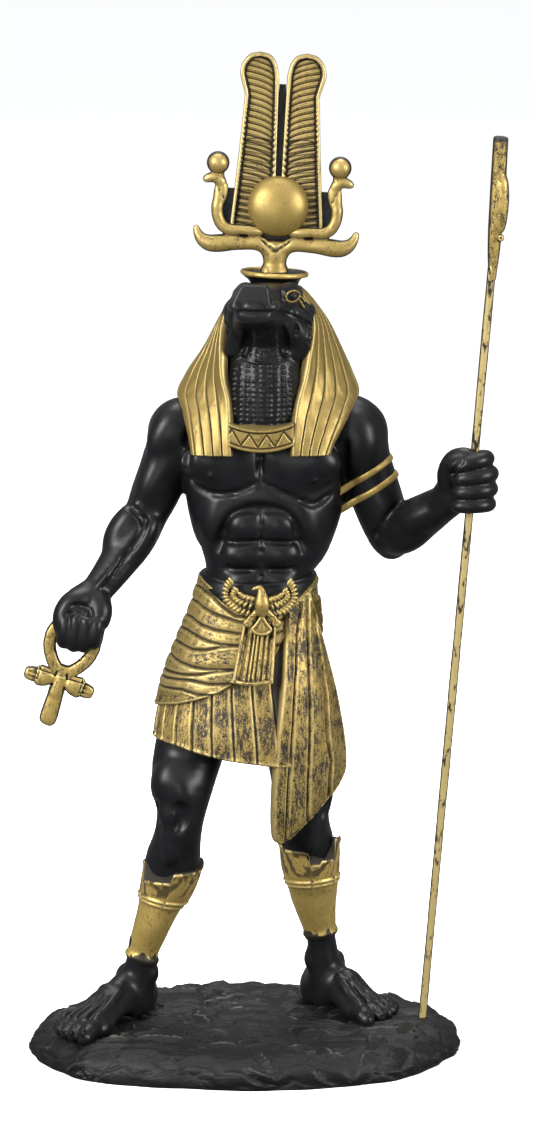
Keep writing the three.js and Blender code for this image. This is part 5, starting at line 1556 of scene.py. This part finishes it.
def plume(side):
    """One of the two tall plumes: a raised rim round barbs that sweep down towards the middle."""
    foot, top = 10, 63.15
    outer = curve([
        (13.9, foot), (12.9, 22), (12, 34), (11.1, 48), (11.05, 51), (11.9, 54), (12.6, 57), (11.9, 60),
        (9.8, 62.4), (7.0, top),
    ], 10)
    inner = curve([
        (0.7, foot), (0.8, 22), (0.95, 40), (1.1, 52), (1.3, 57), (2.3, 60.4), (4, 62.4), (6.6, top),
    ], 10)
    s, t = np.linspace(0, 1, 44)[None], np.linspace(0, 1, 330)[:, None]
    z = mix(foot, top, 1 - (1 - t) ** 1.15)
    far = np.interp(z, outer[:, 1], outer[:, 0])
    near = np.interp(z, inner[:, 1], inner[:, 0])
    x = mix(near, far, s)
    edge = np.vstack([outer, inner])
    margin = np.sqrt(np.min((x[..., None] - edge[:, 0]) ** 2 + (z[..., None] - edge[:, 1]) ** 2, axis=-1))
    rim = 1 - smooth(margin, 1.0, 1.35)
    sweep = 4.3 * (1 - np.exp(-(x - near) / 5.2))
    phase = ((z - sweep) / 1.86) % 1
    ridge = np.abs(np.sin(math.pi * phase))
    barb = 0.62 * ridge**0.7 + 0.1 * np.sin(phase * 3 * TURN)
    trough = smooth(margin, 1.35, 1.9)
    dark = 0.9 * (1 - rim) * (1 - smooth(ridge, 0.35, 0.75)) + hill(margin - 1.3, 0.35)
    front = 0.2 + 1.5 * (1 - rim) - barb * (1 - rim) * (0.4 + 0.6 * trough) - 0.35 * rim * rounded(s, 0.07)
    back = np.broadcast_to(3.4 - 0.3 * rounded(s, 0.1), front.shape)
    z = np.broadcast_to(z, x.shape)
    form = slab(np.stack([side * x, front, z], axis=-1), np.stack([side * x, back, z], axis=-1))
    return form, np.concatenate([np.clip(dark, 0, 1).ravel(), np.zeros(x.size)])


def horns_and_cobras():
    """The wavy horns, and on each a cobra that rears beside the disc with a smaller disc on its head."""
    clay = Clay((-26, -6, -2), (26, 6, 36), 0.3)
    clay.tube([[0, 0, z, wide, deep] for z, wide, deep in (
        (-3, 4.6, 3.6), (-0.7, 4.2, 3.2), (1.2, 3.4, 2.7), (4, 3.8, 2.8), (6, 5, 2.6))], 1.0)
    for side in (-1, 1):
        horn = [(side * x, -0.2, z) for x, z in (
            (0.4, 4.6), (3, 6.3), (5.6, 7.5), (9.4, 7.2), (13, 7.3), (16.4, 6.9), (19.4, 6.8), (21.6, 7.8),
            (23, 9.6), (23.6, 11.4))]
        clay.strand(horn, (1.8, 1.7, 1.9, 1.7, 2.1, 2.3, 2.1, 1.5, 0.95, 0.5), 0.7)
        # a cobra from the foot of the disc: body, hood, head turned outwards
        body = [(side * x, y, z) for x, y, z in (
            (4.5, 0, 10.9), (7.2, -0.6, 11), (10.4, -0.6, 11.2), (13.4, -0.5, 11.1), (15.9, -0.4, 12.2),
            (17.4, -0.4, 15.2), (17.6, -0.4, 18.4))]
        clay.strand(body, (1.2, 1.4, 1.35, 1.5, 1.6, 1.6, 1.6), 0.4)
        clay.tube([[side * x, -0.4, z, wide, deep] for x, z, wide, deep in (
            (17.7, 17.6, 1.4, 1.5), (17.0, 20.4, 2.0, 1.5), (16.6, 23, 2.1, 1.4), (16.9, 25, 1.5, 1.4))], 0.6)
        head = [(side * x, y, z) for x, y, z in (
            (16.9, -0.4, 25.2), (18.6, -0.5, 26.3), (20.2, -0.5, 26), (21.3, -0.5, 25.6))]
        clay.strand(head, (1.4, 1.3, 1.1, 0.75), 0.6)
        clay.strand([(side * 18.6, -2.2, 25.6), (side * 21.6, -1.9, 25.2)], 0.16, 0.2, remove=True)
        clay.groove([(side * x, 0, z) for x, z in ((17.9, 24), (16.8, 22), (15.9, 20))], 0.18, 0.3)
        clay.strand([(side * 17.4, 0, 26.6), (side * 17.8, 0, 28)], 1.2, 0.8)
        clay.blob((side * 17.9, -0.2, 30.5), (3.35, 3.35, 3.35), blend=0.3)
    fork = [(-3.8, 0, 8.6), (-1.7, 0, 6.7), (0, 0, 5.5), (1.7, 0, 6.7), (3.8, 0, 8.6)]
    clay.groove(fork, (0.45, 0.4, 0.4, 0.4, 0.45), 0.4)
    return clay.form()


def disc():
    """The sun disc, domed in front and flat behind."""
    radius, middle, turns = 8.9, 18.4, 110
    a = np.arange(turns) * TURN / turns
    rings = [(radius, 2.6)]
    for share in np.linspace(0, 1, 34):
        steep = share * TURN / 4
        rings.append((max(radius * math.cos(steep), 0.02), -0.2 - 4.9 * math.sin(steep)))
    grid = [[(r * math.sin(v), y, middle + r * math.cos(v)) for v in a] for r, y in rings]
    points, faces = closed_form(np.array(grid))
    return points + (0.25, 0, 0), faces


def plume_web():
    """The dark walls between the plumes, above the horns and behind each cobra."""
    def wall(left, right, low, high, front):
        s, t = np.meshgrid(np.linspace(0, 1, 12), np.linspace(0, 1, 60))
        z = mix(low, high, t)
        x = mix(np.interp(z, *left), np.interp(z, *right), s)
        face = front + 0.12 * noise(np.stack([x, 0 * x, z], axis=-1), 1.6, 4)
        return slab(np.stack([x, face, z], axis=-1), np.stack([x, 3.0 + 0 * x, z], axis=-1))

    strip = wall(([8, 40, 56], [-1.6, -1.5, -0.9]), ([8, 40, 56], [1.6, 1.5, 0.9]), 8, 54, 1.9)
    bar = wall(([6.5, 12], [-13, -15]), ([6.5, 12], [13, 15]), 6.8, 12, 1.0)
    backings = []
    for side in (-1, 1):
        near = ([9, 16, 23], [side * 12.6, side * 12.2, side * 12.4])
        far = ([9, 13, 18, 23], [side * 15.4, side * 17.2, side * 17.4, side * 14.6])
        backings.append(wall(near, far, 9.4, 23, 1.1))
    return together(strip, bar, *backings)


# The staff and the ankh


STAFF_FOOT = np.array([0.41 * BASE_LENGTH, -0.6, 0])
STAFF_AXIS = unit(LEFT_FIST - STAFF_FOOT)
ABOVE_THE_FIST = 101.7
STAFF_TOP = np.linalg.norm(LEFT_FIST - STAFF_FOOT) + ABOVE_THE_FIST
STAFF_HEAD = 38.3  # its length


def staff_frame(points):
    """From the staff's own frame, z along it from the rock, to the figure's."""
    side = unit(np.cross((0, 1, 0), STAFF_AXIS))
    front = np.cross(STAFF_AXIS, side)
    points = np.array(points, float)
    return STAFF_FOOT + points[..., :1] * side + points[..., 1:2] * front + points[..., 2:] * STAFF_AXIS


def shaft():
    """The rod, from its socket in the rock to inside the head."""
    in_socket, left_for_head = 4.4, 37.3
    heights = np.linspace(-in_socket, STAFF_TOP - left_for_head, 60)
    points = staff_frame([(0, 0, z) for z in heights])
    wobble = 1.25 + 0.05 * noise(points, 5, 3)

    def carve(grid):
        return 0.05 * layered_noise(grid, (1.6, 1.6, 5), 2, 8)

    stations = [[*p, r, r] for p, r in zip(points, wobble)]
    points, faces = loft(stations, 24, 1200, carve=carve, round_ends=(0.2, 0))
    height = (points - STAFF_FOOT) @ STAFF_AXIS - STAFF_TOP
    # black is left below the head and around the fist
    left = np.clip(smooth(height, -56, -48) + smooth(-height, 80, 87) * smooth(height, -150, -110), 0, 1)
    black = smooth(layered_noise(points, (0.7, 0.7, 1.1), 3, 61) + 0.5 * (left - 1), -0.02, 0.08)
    return (points, faces), black


def staff_head():
    """The was sceptre's head: a bar with a drooping muzzle in front of it, above a collar."""
    clay = Clay((-5, -8, 131), (6, 5, 176), 0.2)
    lowered = 96  # the block of clay lies this much lower than the head
    start = STAFF_TOP - lowered - STAFF_HEAD

    def rows(stations):
        return [[x, y, start + z, wide, deep] for x, y, z, wide, deep in stations]

    clay.tube(rows([
        (0.2, 0, -2.5, 1.3, 1.3), (0.2, 0.1, 0.4, 1.4, 1.4), (0.1, 0.2, 4.4, 1.75, 1.8),
        (-0.1, 0.4, 11.3, 2.05, 2.2), (-0.2, 0.6, 18, 2.2, 2.2), (-0.4, 1, 25, 2.25, 2.2),
        (-0.8, 1.4, 37.4, 2.2, 2.1),
    ]), 0.6)
    clay.strand([(x, y, start + z) for x, y, z in (
        (0.4, 0.6, 26.8), (0.9, -0.2, 24.4), (1.3, -0.6, 20), (1.4, -0.8, 15), (1.3, -0.8, 11.8))],
        (1.2, 1.5, 1.6, 1.4, 1.0), 0.6)
    clay.blob((1.6, -1.6, start + 9.6), (1, 0.9, 1.1), blend=0.25)
    clay.blob((1.6, -2.4, start + 9.6), (0.35, 0.5, 0.4), blend=0.15, remove=True)
    parting = [(0.5, -2.6, start + 27), (0.7, -2.6, start + 18), (0.6, -2.2, start + 9)]
    clay.strand(parting, 0.22, 0.3, remove=True)
    clay.shave((0, 0, start + STAFF_HEAD), UP, 0.3)
    points, faces = clay.form()
    grey_tip = smooth(points[:, 2], start + 36.8, start + 37.1)
    return (staff_frame(points + (0, 0, lowered)), faces), grey_tip


CROSSING = RIGHT_FIST + (-6.2, -1, -15.6)  # where the arms of the ankh cross its stem


def ankh():
    """The ankh: made upright in a plane that faces forward, its crossing at the origin, and then leant."""
    clay = Clay((-13, -4, -18), (13, 4, 21), 0.24)
    height, half = 16.6, 7.7
    loop = [(half * math.sin(v) * math.sqrt(math.sin(v / 2)), 0, 1.9 + height * (1 - math.cos(v)) / 2)
            for v in np.linspace(0.02, TURN - 0.02, 40)]
    clay.strand(loop, 1.85, 0.3, steps=2)
    clay.strand([(0, 0, 3), (0, 0, -4)], (1.8, 2.2), 0.5)
    clay.tube([
        [0, 0, -0.5, 1.9, 1.75], [0.1, 0, -4, 2.3, 1.85], [0.2, 0, -9, 2.6, 1.9], [0.25, 0, -12, 2.65, 1.8],
        [0.2, 0, -12.8, 2.3, 1.6],
    ], 0.6, square=2.6)
    for side in (-1, 1):
        # each arm: a bulb that flares from the crossing, and a narrower end behind it
        bulb = [(1.2, -0.3, 0, 1, 1.2), (2.4, -0.4, -0.2, 1.5, 1.6), (4.3, -0.5, -0.4, 2.8, 2),
                (5.8, -0.4, -0.5, 3.25, 2)]
        end = [(5.6, 0.3, -0.6, 2.2, 1.5), (8, 0.3, -0.9, 2.3, 1.6), (9.4, 0.3, -1, 2, 1.4)]
        for stations, blend in ((bulb, 0.2), (end, 0.15)):
            clay.tube([[side * x, *rest] for x, *rest in stations], blend, across=UP, square=2.4)
        # two lines cut the end of the arm into three lobes
        for rise in (-0.75, 0.75):
            line = [(side * 6.9, -1.4, rise - 0.8), (side * 10.4, -1.4, rise - 1)]
            clay.strand(line, 0.42, 0.2, remove=True)
        # a deep line parts the bulb from the middle, and another one the end from the bulb
        for depth in (-2.1, -1.2, -0.3):
            for line in (((1.5, 2.4), (1.9, 0.4), (1.8, -2.6)), ((6.6, 2.6), (6.7, -3.6))):
                clay.strand([(side * x, depth, z) for x, z in line], 0.24, 0.2, remove=True)
    # steps where the loop's strands were pieced, and a flat face in front
    for x, z, angle in ((-5.6, 6.4, 0.9), (-7.8, 11, 0.3), (5.4, 6.2, -0.9), (7.6, 10.4, -0.3)):
        across = np.array([math.cos(angle), 0, math.sin(angle)]) * 2.2
        for y in (-2, -1, 0):
            clay.strand([np.array([x, y, z]) - across, np.array([x, y, z]) + across], 0.2, 0.3, remove=True)
    clay.shave((0, -1.62, 0), (0, -1, 0), 0.5, (-13, -4, 1.5), (13, 4, 21))
    clay.shave((0, 1.6, 0), (0, 1, 0), 0.4)
    points, faces = clay.form()
    return leant(points, 18.5) + CROSSING, faces


# Camera, light and floor


def stage():
    """The photo's camera, a white floor that runs out of sight, a pale sky and four soft lamps."""
    view = bpy.data.cameras.new("camera")
    photo_height = 1145
    focal_pixels = 4441.9
    view.lens = view.sensor_width * focal_pixels / photo_height
    view.clip_end = 20
    camera = bpy.data.objects.new("camera", view)
    looks_down = 10.188  # degrees
    camera.location = Vector((6.6, -1300, 380)) * MILLIMETRE
    camera.rotation_euler = (math.radians(90 - looks_down), 0, 0)
    bpy.context.scene.collection.objects.link(camera)
    bpy.context.scene.camera = camera

    floor_paint = Paint("floor", roughness=0.75, base_color=(0.97, 0.97, 0.97, 1))
    reach = 9.0
    mesh = bpy.data.meshes.new("floor")
    corners = [(-reach, -reach, 0), (reach, -reach, 0), (reach, reach, 0), (-reach, reach, 0)]
    mesh.from_pydata(corners, [], [(0, 1, 2, 3)])
    mesh.materials.append(floor_paint.material)
    floor = bpy.data.objects.new("floor", mesh)
    bpy.context.scene.collection.objects.link(floor)
    # the floor is seen, but throws no light back on the dark lacquer
    floor.visible_glossy = False
    floor.visible_diffuse = False

    world = bpy.data.worlds.new("studio")
    world.use_nodes = True
    background = world.node_tree.nodes["Background"].inputs
    background["Color"].default_value = (0.93, 0.96, 1, 1)
    background["Strength"].default_value = 0.3
    bpy.context.scene.world = world
    sun = bpy.data.lights.new("sky", "SUN")
    sun.energy = 2.5
    sun.angle = math.radians(100)
    sky = bpy.data.objects.new("sky", sun)
    sky.rotation_euler = (math.radians(12), math.radians(-6), 0)
    bpy.context.scene.collection.objects.link(sky)
    middle = Vector((0, 0, 0.15))
    for name, place, size, power in (
        ("soft_left", (-0.8, -0.75, 0.6), 0.4, 26.0),
        ("soft_right", (0.9, -0.55, 0.4), 0.35, 17.0),
        ("soft_top", (0.05, 0.25, 1.15), 0.6, 12.0),
        ("soft_front", (-0.16, -1.1, 0.19), 0.3, 2.4),
    ):
        lamp = bpy.data.lights.new(name, "AREA")
        lamp.shape = "RECTANGLE"
        lamp.size, lamp.size_y = size, size * 1.4
        lamp.energy = power
        holder = bpy.data.objects.new(name, lamp)
        holder.location = place
        holder.rotation_euler = (middle - Vector(place)).to_track_quat("-Z", "Y").to_euler()
        bpy.context.scene.collection.objects.link(holder)
    bpy.context.scene.view_settings.view_transform = "Standard"


# Putting it together


stage()

BLACK = black_gloss()
HIDE = black_hide()
ROCK = black_rock()
# the golds are one paint at different levels, darker or lighter to offset how the lamps fall on each part:
# painted light and shade
CLOTH_GOLD = antique_gold("cloth_gold", wear=0.16, streak=(1, 1, 0.22), crest=0.5, painted_light_level=0.55)
KILT_GOLD = antique_gold("kilt_gold", wear=0.55, streak=(1.3, 1.3, 0.4), crest=0.6, painted_light_level=0.78)
WRAP_GOLD = antique_gold("wrap_gold", wear=0.46, streak=(0.6, 0.6, 1.2), crest=0.8, painted_light_level=0.62)
METAL_GOLD = antique_gold("metal_gold", wear=0.3, streak=(1, 1, 0.4), flanks_and_edge_shade=0.1, painted_light_level=1.1)
EDGED_GOLD = antique_gold("edged_gold", wear=0.34, streak=(1, 1, 0.5), depth=(0.01, 0.1), flanks_and_edge_shade=0.4,
                          painted_light_level=0.78)
COLLAR_GOLD = antique_gold("collar_gold", wear=0.3, streak=(1, 1, 1), depth=(0.0, 0.06), painted_light_level=0.62)
STAFF_GOLD = antique_gold("staff_gold", wear=0.5, streak=(1, 1, 0.4), depth=(0.0, 0.1), flanks_and_edge_shade=0.5,
                          painted_light_level=0.95)
ANKH_GOLD = antique_gold("ankh_gold", wear=0.36, streak=(1, 1, 0.6), depth=(0.0, 0.08), flanks_and_edge_shade=0.62,
                         painted_light_level=0.84)
BRIGHT_GOLD = antique_gold("bright_gold", wear=0.16, streak=(1, 1, 1), depth=(0.01, 0.09), painted_light_level=0.74)

skin_clay = skin()
piece("body", skin_clay.form(), BLACK, "figure", wash_rounds=0)
piece("legs", legs(), BLACK, "figure", wash_rounds=0)
piece("right_foot", right_foot(), BLACK, "figure", wash_rounds=0)
piece("left_foot", left_foot(), BLACK, "figure", wash_rounds=0)
piece("base", base(), ROCK, "figure")
for name, (greave_form, black_rim) in (("right_greave", right_greave()), ("left_greave", left_greave())):
    piece(name, greave_form, METAL_GOLD, "figure", bare_and_painted_shade=black_rim)
skirt_form, skirt_painted_shade = skirt()
piece("skirt", skirt_form, KILT_GOLD, "figure", bare_and_painted_shade=skirt_painted_shade)
piece("wrap", wrap(), WRAP_GOLD, "figure", wash_rounds=20)
piece("belt", belt(), BLACK, "figure", wash_rounds=0)
piece("apron", apron(), KILT_GOLD, "figure")
piece("side_fall", side_fall(), KILT_GOLD, "figure")
falcon_form, between_feathers = falcon()
piece("falcon", falcon_form, EDGED_GOLD, "figure", bare_and_painted_shade=between_feathers)
head_clay = head()
piece("head", head_clay.form(), HIDE, "figure")
piece("eye_line", eye_line(head_clay), BRIGHT_GOLD, "figure", wash_rounds=0)
piece("collar", collar(), COLLAR_GOLD, "figure")
piece("headcloth", headcloth(), CLOTH_GOLD, "figure")
piece("armlets", armlets(skin_clay), BRIGHT_GOLD, "figure", wash_rounds=0)
piece("cap_neck", cap_neck(), BLACK, "figure", wash_rounds=0)
piece("cap_rim", cap_rim(), METAL_GOLD, "figure", wash_rounds=0)
for side, name in ((-1, "plume_right"), (1, "plume_left")):
    plume_form, plume_dark = plume(side)
    piece(name, seated(plume_form), EDGED_GOLD, "crown", bare_and_painted_shade=plume_dark)
piece("plume_web", seated(plume_web()), BLACK, "crown", wash_rounds=0)
piece("crown_horns", seated(horns_and_cobras()), EDGED_GOLD, "crown")
piece("sun_disc", seated(disc()), BRIGHT_GOLD, "crown", wash_rounds=0)
shaft_form, shaft_black = shaft()
piece("staff_shaft", shaft_form, STAFF_GOLD, "staff", bare_and_painted_shade=shaft_black)
staff_head_form, grey_tip = staff_head()
piece("staff_head", staff_head_form, STAFF_GOLD, "staff", bare_and_painted_shade=grey_tip)
piece("ankh_cross", ankh(), ANKH_GOLD, "ankh")
